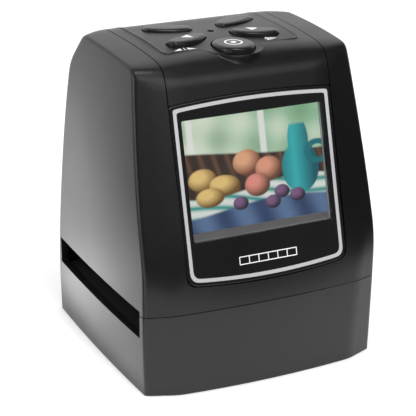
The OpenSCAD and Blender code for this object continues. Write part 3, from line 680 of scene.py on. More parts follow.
def carried(rings, place, closed_ends=True):
    """A profile carried round an outline. rings are (u, v, height) arrays; place turns them into
    millimetres on the scanner. Neighbouring rings are joined; the ends are capped, or joined."""
    points = place(np.concatenate(rings))
    number = np.arange(len(points)).reshape(len(rings), -1)
    if not closed_ends:
        number = np.concatenate([number, number[:1]])
    ahead = np.roll(number, -1, axis=1)
    faces = np.stack([number[:-1], ahead[:-1], ahead[1:], number[1:]], -1)
    faces = faces.reshape(-1, 4).tolist()
    if closed_ends:
        faces += [number[0][::-1].tolist(), number[-1].tolist()]
    return points, faces


def ring_at(field, angles, grow, height):
    """One ring of a profile: the outline moved outwards by grow, at a height."""
    edge = outline(field, angles, grow)
    return xyz(edge[:, 0], edge[:, 1], height)


def prism(name, field, angles, grow, heights, place, slot=None):
    """A closed prism: an outline, moved outwards by grow, between two heights."""
    rings = [ring_at(field, angles, grow, height) for height in heights]
    return new_piece(name, *carried(rings, place), slot)


def rear_place(x, z):
    """Stands an outline upright at x and z, seen from behind; its heights become depths."""
    return lambda p: xyz(x - p[:, 0], p[:, 2], z + p[:, 1])


PORTS = [(-19.0, 34.8, soft_box(4.25, 2.2, 0.9)), (0.0, 34.3, soft_box(12.7, 1.4, 0.5)),
         (18.5, 35.8, disc(3.1))]
carve(upper_housing, [prism("cutter", field, all_round(48), 0, (30.0, 50.0), rear_place(x, z))
                      for x, z, field in PORTS])
smooth(upper_housing)
round_edges(upper_housing, 0.22)
print("upper housing with its openings:", len(upper_housing.data.polygons), "faces")

# %% [markdown]
# ## The top cover and its control panel
# A second moulding closes the roof. It starts at the screen's arched upper edge, runs back over
# the roof and comes down at the rear. It is draped on the same field, so it is flush with the
# housing, and a fine seam is left on both sides. The control panel is sunk into it a little, with
# a fine rounded lip round it, and runs out into a tongue round the scan button. Its floor has six
# holes: five for the buttons, and a pinhole for the light.

# %% The cover's net
MASK_TOP = 24.4
MASK_ARCH_R = 310.0
COVER_PATH = np.concatenate([[(-16.5, 92.0, 38)], SPINE[8:18], [(31.1, COVER_END_Z, 180)]])
COVER_COLUMNS = 41
COVER_STEPS = (16, 100)


def arch(across, top):
    """Height of the screen's upper edge: a large circle's, which falls towards the sides."""
    return top - MASK_ARCH_R + np.sqrt(MASK_ARCH_R ** 2 - across ** 2)


def cover_net(inset):
    """Columns across the roof; each runs from the screen's edge back over the roof and down."""
    across = np.linspace(-COVER_HALF_W, COVER_HALF_W, COVER_COLUMNS)
    first = on_screen(across, arch(across, MASK_TOP + 0.2), SCREEN_BACK)
    back = along(COVER_PATH * [1, 1, 0.1], COVER_STEPS[1]) * [1, 1, 10]
    share = np.linspace(0, 1, COVER_STEPS[0] + 1)[:-1]
    head = xyz(mix(first[:, 1:2], back[0, 0], share), mix(first[:, 2:3], back[0, 1], share),
               mix(SCREEN_LEAN, back[0, 2], share))
    path = np.concatenate([head, np.broadcast_to(back, (len(across),) + back.shape)], axis=1)
    starts = xyz(across[:, None], path[..., 0], path[..., 1])
    return drape(starts, spine_looks(path), inset)


top_cover = shell("top_cover_shell", [[cover_net(0.0), cover_net(WALL)]], "housing_black")
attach(top_cover, HOUSING)
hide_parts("top_cover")
print("top cover:", len(top_cover.data.vertices), "points")

# %% Outlines of the buttons
BUTTON_Y = 2.2
SCAN_Y = -12.4
SCAN_R = 6.7
PETAL_AT = (12.1, 6.2)
PETAL_TURN = 20.0
PETAL_L = 15.3
PETAL_ARCS = ((10.0, 13.9), (-20.5, 23.2))
BUTTON_GAP = 0.35
PINHOLE_R = 1.1


def petal(u, v):
    """Field of a petal: two arcs and two cut ends, with rounded tips."""
    arcs = soft_max(*(np.hypot(u, v - middle) - radius for middle, radius in PETAL_ARCS), 0.5)
    return soft_max(arcs, np.abs(u) - PETAL_L / 2, 1.3)


def rotated(u, v, degrees):
    """Coordinates in the plane, turned about the origin."""
    c, s = math.cos(math.radians(degrees)), math.sin(math.radians(degrees))
    return u * c - v * s, u * s + v * c


def petal_place(side, row):
    """Turns a petal's own coordinates into the scanner's; side and row are -1 or 1."""
    def place(p):
        u, v = rotated(p[:, 0], p[:, 1], -PETAL_TURN)
        return xyz(side * (PETAL_AT[0] + u), BUTTON_Y + row * PETAL_AT[1] - row * v, p[:, 2])
    return place


def moved(*step):
    """Moves all coordinates by one step."""
    return lambda p: p + np.array(step)


def hole_cutters(low, high):
    """Closed prisms for the five buttons' holes and the light's pinhole."""
    holes = [(petal, 160, BUTTON_GAP, petal_place(side, row)) for side, row in PETALS.values()]
    holes += [(disc(SCAN_R), 96, BUTTON_GAP, scan_place),
              (disc(PINHOLE_R), 32, 0.0, moved(0.0, BUTTON_Y, 0.0))]
    made = [prism("cutter", field, all_round(count), grow, (low, high), place)
            for field, count, grow, place in holes]
    for cutter in made:
        fix_normals(cutter)
    return made


scan_place = moved(0.0, SCAN_Y, 0.0)
PETALS = {"mirror": (-1, -1), "flip": (1, -1), "mode": (-1, 1), "power": (1, 1)}
print("holes:", list(PETALS))

# %% Outline and heights of the sunk control panel
PANEL_MID_Y = 5.9
PANEL_HALF = (23.6, 18.1)
TONGUE_R = (9.4, 7.7)
PANEL_T, PANEL_SINK, PANEL_DEEPER = 1.4, 0.1, 0.15
DEEPER_FROM_Y, DEEPER_OVER = -4.0, 18.0
UNDER_ROOF_Z = 80.0
LIP_PROUD, LIP_OVER_FLOOR = 0.08, 0.14
LIP_CREST, LIP_OUTER = 0.25, 0.7
TONGUE_FROM_Y = -17.0


def panel_field(u, v):
    """Field of the panel, seen from its middle: a rounded box that runs out into a tongue."""
    box = soft_max(np.abs(u) - PANEL_HALF[0], np.abs(v) - PANEL_HALF[1], 2.4)
    tongue = (np.hypot(u / TONGUE_R[0], (v + PANEL_MID_Y - SCAN_Y) / TONGUE_R[1]) - 1) * TONGUE_R[1]
    return soft_min(box, tongue, 2.6)


def roof_height(y, x=0.0):
    """Height of the roof at each place, by draping upright lines."""
    return drape(xyz(x, y, UNDER_ROOF_Z), UP)[:, 2]


def floor_height(y):
    """Height of the panel's floor: sunk into the roof, and a little deeper at the front. In
    front it runs straight on over the fold."""
    straight = SLOPE_TOP_Z + (y - SLOPE_FROM_Y) * FRONT_SLOPE
    deeper = PANEL_DEEPER * soft_step(DEEPER_FROM_Y - y, DEEPER_OVER)
    return np.where(y < SLOPE_FROM_Y, straight, roof_height(y)) - PANEL_SINK - deeper


def lift(piece, height):
    """Adds a height that depends on the depth to all points of a mesh."""
    flat = np.empty(len(piece.data.vertices) * 3)
    piece.data.vertices.foreach_get("co", flat)
    flat = flat.reshape(-1, 3) / MM
    flat[:, 2] += height(flat[:, 1])
    piece.data.vertices.foreach_set("co", (flat * MM).ravel())
    piece.data.update()


def clustered(half, count, spread, extra):
    """Angles once round, with more of them at a rectangle's corners."""
    at = math.atan2(half[1], half[0])
    corners = np.array([at, math.pi - at, math.pi + at, 2 * math.pi - at])
    more = (corners[:, None] + np.linspace(-spread, spread, extra)[None, :]).ravel()
    return np.sort(np.concatenate([all_round(count), more]))


panel_place = moved(0.0, PANEL_MID_Y, 0.0)
PANEL_ANGLES = clustered(PANEL_HALF, 540, 0.06, 25)
print("panel outline:", len(PANEL_ANGLES), "points")

# %% The cover's opening, the panel's floor and the lip round it
OPENING_GROW, PLATE_GROW = 0.45, 0.3
LIP = [(-0.65, -1.3), (-0.65, -0.26), (-0.62, -0.18), (-0.54, -0.13), (-0.3, -0.08), (0.1, -0.01),
       (0.22, 0.0), (0.32, 0.0), (0.42, -0.01), (0.55, -0.03), (0.7, -0.06), (0.85, -0.09),
       (1.0, -0.2), (1.05, -0.7)]
carve(top_cover, [prism("cutter", panel_field, PANEL_ANGLES, OPENING_GROW, (85.0, 110.0),
                        panel_place)])
smooth(top_cover)
round_edges(top_cover, 0.2)
print("top cover with its opening:", len(top_cover.data.polygons), "faces")

panel = prism("control_panel", panel_field, PANEL_ANGLES, PLATE_GROW, (-PANEL_T, 0.0),
              panel_place, "housing_black")
work = bmesh.new()
work.from_mesh(panel.data)
for y in np.arange(-22.0, 23.9, 0.8):  # cross lines, which let the flat plate follow the roof
    parts = work.verts[:] + work.edges[:] + work.faces[:]
    bmesh.ops.bisect_plane(work, geom=parts, plane_co=(0, y * MM, 0), plane_no=(0, 1, 0))
work.to_mesh(panel.data)
work.free()
carve(panel, hole_cutters(-5.0, 5.0))
lift(panel, floor_height)
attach(panel, HOUSING)
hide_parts("top_cover")
smooth(panel, 28)


def lip_ring(grow, height):
    """One ring of the lip. Its height counts from the lip's edge, which stands a little proud of
    the roof, or round the tongue from the floor. From its crest it falls steeply to the roof, and
    round the tongue its outer rings dive under it."""
    edge = ring_at(panel_field, PANEL_ANGLES, grow, 0.0)
    y = edge[:, 1] + PANEL_MID_Y
    beyond = max(grow - LIP_CREST, 0.0)
    steep = 14.0 * beyond ** 2 / (beyond + 0.3)
    dive = 3.0 * max(grow - LIP_OUTER, 0.0) * soft_step(TONGUE_FROM_Y - y, 3.0)
    edge[:, 2] = height - dive + np.maximum(roof_height(y, edge[:, 0]) + LIP_PROUD,
                                            floor_height(y) + LIP_OVER_FLOOR - steep)
    return edge


lip = new_piece("panel_lip", *carried([lip_ring(*row) for row in LIP], panel_place,
                                      closed_ends=False), "housing_black")
fix_normals(lip)
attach(lip, HOUSING)
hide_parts("top_cover")
smooth(lip, 50)
print("panel floor:", len(panel.data.polygons), "faces; lip:", len(lip.data.polygons), "faces")

# %% [markdown]
# ## The five buttons
# Each button is a glossy cap: a profile carried round its outline. The profile starts at the stem
# over the switch, widens to a flange that keeps the cap in, climbs through the panel's hole and
# closes with a wide rounded bevel. Four caps are petals and one is a disc.

# %% The caps
PLUNGER_TOP = 96.3
ROOF_INNER_Z = ROOF_Z - WALL
PETAL_TOP_Z = 102.35
SCAN_TOP_Z = 101.55
STEM_R, FLANGE_T = 2.0, 1.1
FLANGE_LOW = {-1: ROOF_INNER_Z - 1.35, 1: ROOF_INNER_Z - 0.35}  # the roof falls to the front
SCAN_FLANGE_LOW = ROOF_INNER_Z - 1.6
PETAL_EDGE, SCAN_EDGE = (1.35, 0.8, 1.0), (1.5, 0.85, 0.9)  # bevel, its drop, flange


def bevelled_head(field, angles, low, top, bevel, drop):
    """Rings of a cap's head: an upright side, a wide rounded bevel, which is a quarter of an
    ellipse from the side to the top, and the top."""
    turns = np.radians(np.linspace(8, 90, 9))
    steps = [(0.0, low), (0.0, top - drop - 0.05)]
    steps += [(-bevel * (1 - math.cos(t)), top - drop * (1 - math.sin(t))) for t in turns]
    steps += [(-bevel - 0.3, top)]
    return [ring_at(field, angles, grow, height) for grow, height in steps]


def button_cap(name, field, count, place, low, top, bevel, drop, flange, body):
    """One cap: stem, flange and head in one closed mesh. low is the top of its flange."""
    angles = all_round(count)
    under = low - FLANGE_T
    rings = [ring_at(disc(STEM_R), angles, 0, height) for height in (PLUNGER_TOP, under)]
    rings += [ring_at(field, angles, flange, height) for height in (under, low)]
    rings += bevelled_head(field, angles, low, top, bevel, drop)
    piece = new_piece(name, *carried(rings, place), "button_black")
    fix_normals(piece)
    smooth(piece, 30)
    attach(piece, body)
    return piece


caps = {}
for key, (side, row) in PETALS.items():
    caps[key] = button_cap(key + "_cap", petal, 200, petal_place(side, row), FLANGE_LOW[row],
                           PETAL_TOP_Z, *PETAL_EDGE, key + "_key")
    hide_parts(key + "_button")
caps["scan"] = button_cap("scan_cap", disc(SCAN_R), 128, scan_place, SCAN_FLANGE_LOW,
                          SCAN_TOP_Z, *SCAN_EDGE, "scan_key")
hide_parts("scan_button")
print("caps:", {key: len(cap.data.polygons) for key, cap in caps.items()})

# %% [markdown]
# ## The screen's frame
# The tilted screen sits behind a glossy black frame with a printed silver line. Both are rings:
# a profile carried round the frame's outline at one end and round the window at the other, so
# the flat front is one net from the outer edge to the window.

# %% The frame and its silver line
MASK_T = 1.2
MASK_BOTTOM = -33.0
WINDOW_HALF = (24.5, 18.375)
WINDOW_SOFTNESS = 0.7
LOW_CORNER, TOP_CORNER = 3.6, 0.8
LINE_INSET = (1.1, 2.25)


def mask_field(inset):
    """Field of the frame's outline: two sides, an arched top and an arched bottom. The corners
    below are round, and those above nearly sharp."""
    def field(u, v):
        sides = np.abs(u) - COVER_HALF_W + inset
        top = np.hypot(u, v - (MASK_TOP - MASK_ARCH_R)) - MASK_ARCH_R + inset
        low = np.hypot(u, v - (MASK_BOTTOM + LOW_ARCH_R)) - LOW_ARCH_R + inset
        return soft_max(soft_max(sides, low, LOW_CORNER - 0.6 * inset), top, TOP_CORNER)
    return field


def screen_place(p):
    """Puts outline coordinates and heights on the tilted screen plane."""
    return on_screen(p[:, 0], p[:, 1], -p[:, 2][:, None])


def frame_ring(name, outside, outer_profile, inside, inner_profile, slot):
    """A ring on the screen plane between two outlines. Each row of a profile says how far
    outside its outline a ring lies, and how high."""
    rings = [ring_at(outside, MASK_ANGLES, *row) for row in outer_profile]
    rings += [ring_at(inside, MASK_ANGLES, *row) for row in inner_profile]
    piece = new_piece(name, *carried(rings, screen_place, closed_ends=False), slot)
    fix_normals(piece)
    smooth(piece, 35)
    return piece


MASK_ANGLES = clustered(WINDOW_HALF, 320, 0.03, 13)
mask = frame_ring(
    "screen_frame", mask_field(0.0),
    [(0.0, -MASK_T), (0.0, -0.22), (-0.06, -0.07), (-0.2, 0.0), (-0.36, 0.0)],
    soft_box(*WINDOW_HALF, WINDOW_SOFTNESS),
    [(0.3, 0.0), (0.16, 0.0), (0.05, -0.05), (0.0, -0.16), (0.0, -MASK_T)], "mask_black")
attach(mask, HOUSING)
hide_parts("screen_mask")
trim = frame_ring(
    "silver_line", mask_field(LINE_INSET[0]),
    [(0.0, -0.1), (0.0, 0.02), (-0.05, 0.06), (-0.1, 0.06)], mask_field(LINE_INSET[1]),
    [(0.1, 0.06), (0.05, 0.06), (0.0, 0.02), (0.0, -0.1)], "trim_silver")
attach(trim, HOUSING)
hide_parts("frame_trim")
print("frame:", len(mask.data.polygons), "faces; line:", len(trim.data.polygons), "faces")

# %% [markdown]
# ## Printed marks
# The buttons and the panel carry small pale prints: an arrow on two petals, a ring with a dot on
# the round cap, two plain signs for turning a picture over, and a strip of film on the frame. A
# print could be a texture, but a hair-thin raised shape keeps its sharp edge at any distance.

# %% Thin prints on the caps, the panel and the frame
PRINT_LOW, PRINT_HIGH = -0.02, 0.03
RING_R, DOT_R = (2.9, 2.35), 0.9
ARROW_TURN = -24
STRIP_HALF_W, STRIP_LINE, STRIP_AT = 10.2, 0.14, (0.3, -26.3, 0.0)


def print_mark(name, shapes, place, body):
    """A print made of flat shapes: each outline is raised from just under the surface to just
    over it, as a closed thin prism."""
    points, faces, first = [], [], 0
    for shape in shapes:
        rings = [xyz(*np.transpose(shape), height) for height in (PRINT_LOW, PRINT_HIGH)]
        prism_points, prism_faces = carried(rings, place)
        points.append(prism_points)
        faces += [[first + corner for corner in face] for face in prism_faces]
        first += len(prism_points)
    piece = new_piece(name, np.concatenate(points), faces, "led_white")
    fix_normals(piece)
    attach(piece, body)
    return piece


def printed_at(x, y, angle, height):
    """Turns a print about its middle, moves it to x and y, and lifts it to a height, which is a
    number or a function of the depth."""
    def place(p):
        across, back = rotated(p[:, 0], p[:, 1], angle)
        level = height(y + back) if callable(height) else height
        return xyz(x + across, y + back, p[:, 2] + level)
    return place


def bar(u, v, half_w, half_h):
    """A small upright rectangle round a middle."""
    return [(u - half_w, v - half_h), (u + half_w, v - half_h),
            (u + half_w, v + half_h), (u - half_w, v + half_h)]


arrow = np.array([(-1.9, -1.2), (1.9, -1.2), (0.0, 1.5)])
beside = [[(1.1, -0.75), (3.8, -0.75), (1.1, 0.75)],
          [(-1.1, -0.75), (-1.1, 0.75), (-3.8, -0.75)], bar(0.0, 0.0, 0.16, 0.85)]
above = [[(-1.7, 0.4), (1.7, 0.4), (-1.7, 1.1)], [(-1.7, -0.4), (-1.7, -1.1), (1.7, -0.4)],
         bar(0.0, 0.0, 2.2, 0.1)]
strip = [bar(0.0, side * 1.15, STRIP_HALF_W, STRIP_LINE) for side in (-1, 1)]
strip += [bar(share * (STRIP_HALF_W - STRIP_LINE), 0.0, STRIP_LINE, 1.02)
          for share in np.linspace(-1, 1, 7)]
ring = [ring_at(disc(RING_R[at]), all_round(96), 0, SCAN_TOP_Z + height) for at, height in
        ((0, PRINT_LOW), (0, PRINT_HIGH), (1, PRINT_HIGH), (1, PRINT_LOW))]
ring_mark = new_piece("scan_ring", *carried(ring, scan_place, closed_ends=False), "led_white")
fix_normals(ring_mark)
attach(ring_mark, "scan_key")
marks = [
    ring_mark,
    print_mark("scan_dot", [outline(disc(DOT_R), all_round(48))],
               printed_at(0.0, SCAN_Y, 0, SCAN_TOP_Z), "scan_key"),
    print_mark("mirror_arrow", [arrow], printed_at(-11.3, -3.4, ARROW_TURN, PETAL_TOP_Z),
               "mirror_key"),
    print_mark("flip_arrow", [-arrow], printed_at(11.5, -3.6, ARROW_TURN, PETAL_TOP_Z),
               "flip_key"),
    print_mark("mirror_sign", beside, printed_at(-15.9, -10.3, 0, floor_height), HOUSING),
    print_mark("flip_sign", above, printed_at(14.6, -10.2, 0, floor_height), HOUSING),
    print_mark("film_strip_sign", strip,
               lambda p: screen_place(p + np.array(STRIP_AT)), HOUSING),
]
print("prints:", [mark.name for mark in marks])

# %% [markdown]
# ## The picture on the display
# The display is lit from behind and shows a picture. Here it is a made-up still life of fruit and
# a cloth. It is worked out as colours on a fine net: each thing is a soft mask, which blends its
# own colour over what is behind it, and the colours are kept in the mesh as an attribute.

# %% Soft masks and the picture
LCD_HALF = (24.6, 17.3)
LCD_UP = 1.25
LCD_BACK = 2.45
LCD_T = 0.7
LCD_POINTS = (247, 174)


def ellipse(u, v, cu, cv, ru, rv, turned=0.0):
    """How far inside a turned ellipse a point lies, as a share of its size; 0 on the edge."""
    a, b = rotated(u - cu, v - cv, -turned)
    return 1 - np.hypot(a / ru, b / rv)


def over(picture, mask, colour):
    """Blends a colour, plain or varying, over the picture where the mask is 1."""
    return picture + (np.asarray(colour) - picture) * mask[..., None]


def blend(first, second, share):
    """Colours from the first, where the share is 0, to the second, where it is 1."""
    return mix(np.array(first), np.array(second), share[..., None])


def wave(phase):
    """A sine wave between 0 and 1."""
    return 0.5 + 0.5 * np.sin(phase)


def ball(picture, u, v, cu, cv, ru, rv, dark, light, turned=0.0):
    """A shaded fruit: an ellipse that is lighter towards the upper left."""
    inside = ellipse(u, v, cu, cv, ru, rv, turned)
    glow = np.clip(ellipse(u, v, cu - 0.3 * ru, cv + 0.35 * rv, 1.25 * ru, 1.25 * rv), 0, 1)
    shade = blend(dark, light, np.clip(glow * 1.5, 0, 1))
    return over(picture, soft_step(inside, 0.12), shade)


def still_life(u, v):
    """The picture's colours. u runs from -1 to 1 to the right and v from -1 to 1 upwards."""
    back = blend((0.66, 0.76, 0.60), (0.30, 0.52, 0.34), soft_step(u + 0.2 * v, 2.2))
    leaves = np.sin(7 * u + 3 * v) * np.sin(5 * v - 4 * u) * soft_step(v - 0.05, 0.5)
    picture = over(back, 0.5 * np.clip(leaves, 0, 1), (0.12, 0.30, 0.14))
    picture = over(picture, 0.5 * np.clip(-leaves, 0, 1), (0.85, 0.9, 0.75))
    for at in (-0.86, 0.16):
        pane = soft_step(0.045 - np.abs(u - at), 0.03) * soft_step(v + 0.1, 0.1)
        picture = over(picture, 0.9 * pane, (0.82, 0.84, 0.80))
    shelf = soft_step(0.30 - v - 0.12 * np.sin(1.3 * u + 0.4), 0.05)
    slats = wave(34 * (u + 0.2 * v)) ** 3
    picture = over(picture, shelf, blend((0.030, 0.014, 0.008), (0.12, 0.055, 0.03), slats))
    stripes = wave(30 * (v + 0.22 * u + 0.05 * np.sin(3 * u))) ** 2
    cloth = blend((0.72, 0.78, 0.74), (0.03, 0.30, 0.26), stripes)
    picture = over(picture, soft_step(-0.34 - v + 0.10 * np.sin(2.5 * u), 0.05), cloth)
    denim = blend((0.02, 0.05, 0.13), (0.10, 0.17, 0.32), wave(11 * u + 3 * v))
    picture = over(picture, soft_step(-0.70 - v + 0.12 * np.sin(1.7 * u + 1), 0.06), denim)
    jug = np.maximum(ellipse(u, v, 0.66, -0.12, 0.27, 0.46),
                     np.minimum(ellipse(u, v, 0.66, 0.36, 0.15, 0.42), 0.46 - np.abs(v - 0.2)))
    lit = np.clip(1 - np.abs(u - 0.58) / 0.27, 0, 1)
    picture = over(picture, soft_step(jug, 0.06), blend((0.0, 0.10, 0.13), (0.03, 0.44, 0.46), lit))
    handle = 0.05 - np.abs(np.hypot((u - 0.93) / 0.9, v - 0.12) - 0.17)
    picture = over(picture, soft_step(handle, 0.03), (0.0, 0.16, 0.19))
    fruit = [(cu, cv, ru, rv, (0.16, 0.07, 0.01), (0.80, 0.56, 0.20), angle)
             for cu, cv, ru, rv, angle in ((-0.74, -0.10, 0.2, 0.2, 20),
                                           (-0.44, -0.24, 0.22, 0.18, -15),
                                           (-0.66, -0.42, 0.2, 0.17, 5))]
    fruit += [(cu, cv, size, size * 1.15, (0.16 - 0.05 * warm, 0.05, 0.02),
               (0.78, 0.40 - 0.12 * warm, 0.22))
              for cu, cv, size, warm in ((-0.10, 0.10, 0.2, 0.0), (0.20, -0.06, 0.19, 0.5),
                                         (0.02, -0.32, 0.18, 1.0))]
    fruit += [(cu, cv, 0.11, 0.12, (0.012, 0.006, 0.02), (0.20, 0.10, 0.22))
              for cu, cv in ((0.36, -0.50), (0.58, -0.60), (-0.24, -0.60), (0.22, -0.66))]
    for one in fruit:
        picture = ball(picture, u, v, *one)
    return np.clip(picture, 0, 1)


grid_u, grid_v = np.meshgrid(*(np.linspace(-half, half, count) for half, count
                               in zip(LCD_HALF, LCD_POINTS)), indexing="ij")
front, back = (on_screen(grid_u, grid_v + LCD_UP, depth).reshape(-1, 3)
               for depth in (LCD_BACK, LCD_BACK + LCD_T))
points, faces = thick(front, back, net_cells(*LCD_POINTS))
display = new_piece("display_picture", points, faces, "lcd_picture")
colours = still_life(grid_u / LCD_HALF[0], grid_v / LCD_HALF[1]).reshape(-1, 3)
colours = np.concatenate([colours, np.zeros_like(colours)])
colours = np.concatenate([colours, np.ones((len(colours), 1))], -1)
layer = display.data.color_attributes.new("picture", "FLOAT_COLOR", "POINT")
layer.data.foreach_set("color", colours.ravel())
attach(display, HOUSING)
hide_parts("lcd_glass")
print("display:", len(points), "points")

# %% [markdown]
# ## Finishes
# Moulded plastic is never quite even: a spark-eroded mould leaves a fine grain, handling leaves
# faint smudges, and thin edges catch light. One node group makes the grain and the smudges from
# noise on object coordinates, and each material uses them with its own strength and size.

# %% The shared surface group
def set_inputs(tree, node, inputs):
    """Gives a node's inputs their plain values, or links from other nodes' outputs."""
    for socket, value in inputs.items():
        if isinstance(value, bpy.types.NodeSocket):
            tree.links.new(value, node.inputs[socket])
        else:
            node.inputs[socket].default_value = value
    return node


def add_node(tree, kind, inputs, operation=None):
    """Adds a node to a node tree and sets its inputs."""
    node = tree.nodes.new(kind)
    if operation:
        node.operation = operation
    return set_inputs(tree, node, inputs)


def make_surface_group():
    """Grain for a bump, smudges for roughness, and a slow tint for colour. Roughness is
    (smudge noise - 0.5) * smudge + roughness; colour is scaled by 1 - tint to 1 + tint."""
    group = bpy.data.node_groups.new("worn_surface", "ShaderNodeTree")
    group.interface.new_socket(name="Vector", in_out="INPUT", socket_type="NodeSocketVector")
    for name, kind, value in (("Grain per metre", "Float", 3000.0), ("Roughness", "Float", 0.4),
                              ("Smudge", "Float", 0.06), ("Color", "Color", (0.5, 0.5, 0.5, 1)),
                              ("Tint", "Float", 0.1)):
        group.interface.new_socket(name=name, in_out="INPUT",
                                   socket_type="NodeSocket" + kind).default_value = value
    for name, kind in (("Height", "Float"), ("Roughness", "Float"), ("Color", "Color")):
        group.interface.new_socket(name=name, in_out="OUTPUT", socket_type="NodeSocket" + kind)
    given = add_node(group, "NodeGroupInput", {}).outputs
    grain = add_node(group, "ShaderNodeTexNoise", {
        "Detail": 3.0, "Vector": given["Vector"], "Scale": given["Grain per metre"]})
    smudge = add_node(group, "ShaderNodeTexNoise", {
        "Scale": 60.0, "Detail": 4.0, "Distortion": 0.6, "Vector": given["Vector"]})
    slow = add_node(group, "ShaderNodeTexNoise", {
        "Scale": 25.0, "Detail": 5.0, "Vector": given["Vector"]})
    centred = add_node(group, "ShaderNodeMath", {0: smudge.outputs["Fac"], 1: 0.5}, "SUBTRACT")
    rough = add_node(group, "ShaderNodeMath", {
        0: centred.outputs[0], 1: given["Smudge"], 2: given["Roughness"]}, "MULTIPLY_ADD")
    darkest, lightest = (add_node(group, "ShaderNodeMath", {0: given["Tint"], 1: sign, 2: 1.0},
                                  "MULTIPLY_ADD") for sign in (-1.0, 1.0))
    bright = add_node(group, "ShaderNodeMapRange", {
        "From Min": 0.3, "From Max": 0.7, "Value": slow.outputs["Fac"],
        "To Min": darkest.outputs[0], "To Max": lightest.outputs[0]})
    tinted = add_node(group, "ShaderNodeVectorMath", {
        0: given["Color"], "Scale": bright.outputs["Result"]}, "SCALE")
    add_node(group, "NodeGroupOutput", {
        "Height": grain.outputs["Fac"], "Roughness": rough.outputs[0],
        "Color": tinted.outputs["Vector"]})
    return group


worn_surface = make_surface_group()
print("group:", worn_surface.name, "with", len(worn_surface.nodes), "nodes")

# %% Materials from the group
BUMP_DEPTH = 0.0002


def finish(name, colour, roughness, smudge=0.06, grain=3000.0, bump=0.05, tint=0.1, **constants):
    """A Principled material whose colour, roughness and bump come from the shared group. The
    bump's strength and depth, and all other values, are plain numbers on their own sockets."""
    material = bpy.data.materials.new(name)
    material.use_nodes = True
    tree = material.node_tree
    place = add_node(tree, "ShaderNodeTexCoord", {})
    surface = tree.nodes.new("ShaderNodeGroup")
    surface.node_tree = worn_surface
    set_inputs(tree, surface, {
        "Vector": place.outputs["Object"], "Grain per metre": grain, "Roughness": roughness,
        "Smudge": smudge, "Color": (*colour, 1), "Tint": tint})
    relief = add_node(tree, "ShaderNodeBump", {
        "Strength": bump, "Distance": BUMP_DEPTH, "Height": surface.outputs["Height"]})
    set_inputs(tree, tree.nodes["Principled BSDF"], {
        "Base Color": surface.outputs["Color"], "Roughness": surface.outputs["Roughness"],
        "Normal": relief.outputs["Normal"],
        **{socket.replace("_", " "): value for socket, value in constants.items()}})
    return material


FINISHES = {
    "housing_black": finish("satin_black", (0.005, 0.005, 0.0052), 0.34, bump=0.25),
    "housing_grey": finish("satin_grey", (0.010, 0.010, 0.0103), 0.34, bump=0.25),
    "mask_black": finish("gloss_black", (0.0105, 0.0105, 0.011), 0.12, smudge=0.05, bump=0.02),
    "trim_silver": finish("silver_print", (0.42, 0.42, 0.43), 0.42, grain=9000.0, bump=0.1),
    "gasket_grey": finish("foam_grey", (0.3, 0.3, 0.31), 0.8, bump=0.6, tint=0.2),
    "lcd_metal": finish("pressed_steel", (0.42, 0.42, 0.43), 0.35, Metallic=0.8),
    "board_green": finish("board_green", (0.03, 0.2, 0.07), 0.3, tint=0.25),
    "board_white": finish("board_white", (0.78, 0.78, 0.76), 0.35),
    "chip_black": finish("chip_black", (0.02, 0.02, 0.02), 0.5, bump=0.3),
    "sensor_glass": finish("sensor_dark", (0.04, 0.05, 0.06), 0.08),
    "button_black": finish("button_black", (0.012, 0.012, 0.013), 0.22, smudge=0.05, bump=0.04,
                           Specular_IOR_Level=0.4),
    "plunger_ivory": finish("ivory_plastic", (0.7, 0.66, 0.55), 0.45),
    "sheet_steel": finish("bright_sheet", (0.6, 0.6, 0.6), 0.28, grain=2000.0, Metallic=1.0),
    "jack_black": finish("jack_black", (0.015, 0.015, 0.015), 0.4, bump=0.2),
    "led_white": finish("frosted_white", (0.85, 0.85, 0.82), 0.3),
    "guide_black": finish("trap_black", (0.012, 0.012, 0.013), 0.65, bump=0.4),
    "diffuser_white": finish("opal_white", (0.86, 0.86, 0.84), 0.5),
    "reflector_white": finish("reflector_white", (0.8, 0.8, 0.78), 0.6),
    "barrel_black": finish("black_anodised", (0.03, 0.03, 0.032), 0.35, Metallic=0.7),
    "lens_glass": finish("coated_glass", (0.7, 0.8, 0.9), 0.03, smudge=0.02,
                         Transmission_Weight=1.0),
    "ribbon_amber": finish("flex_amber", (0.5, 0.26, 0.05), 0.35),
    "wire_red": finish("insulation_red", (0.45, 0.03, 0.02), 0.5),
    "screw_steel": finish("zinc_steel", (0.5, 0.5, 0.5), 0.35, grain=4000.0, Metallic=1.0),
    "foot_rubber": finish("foot_rubber", (0.02, 0.02, 0.02), 0.8, bump=0.6),
}
print(len(FINISHES), "finishes")

# %% The window and the lit picture
WINDOW_ALPHA = 0.06
window = finish("clear_window", (0.02, 0.02, 0.021), 0.04, smudge=0.03, bump=0.01,
                Alpha=WINDOW_ALPHA)
window.surface_render_method = "BLENDED"
FINISHES["window_clear"] = window

picture = finish("lit_picture", (0.02, 0.02, 0.02), 0.3, Emission_Strength=0.9)
tree = picture.node_tree
attribute = add_node(tree, "ShaderNodeAttribute", {})
attribute.attribute_name = "picture"
set_inputs(tree, tree.nodes["Principled BSDF"], {"Emission Color": attribute.outputs["Color"]})
FINISHES["lcd_picture"] = picture
print("window alpha", WINDOW_ALPHA, "and the picture is lit")

# %% Give every piece and node its finish
slot_of = {part["node"]: part["material_slot"] for part in frame["record"]["subparts"]}
made = [lower_housing, upper_housing, top_cover, panel, lip, mask, trim, display,
        *caps.values(), *marks]
slots = [(frame["nodes"][node].data, slot) for node, slot in slot_of.items()]
for mesh, slot in slots + [(piece.data, piece["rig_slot"]) for piece in made]:
    mesh.materials.clear()
    mesh.materials.append(FINISHES[slot])
print(len(slot_of), "nodes and", len(made), "new pieces have a finish")

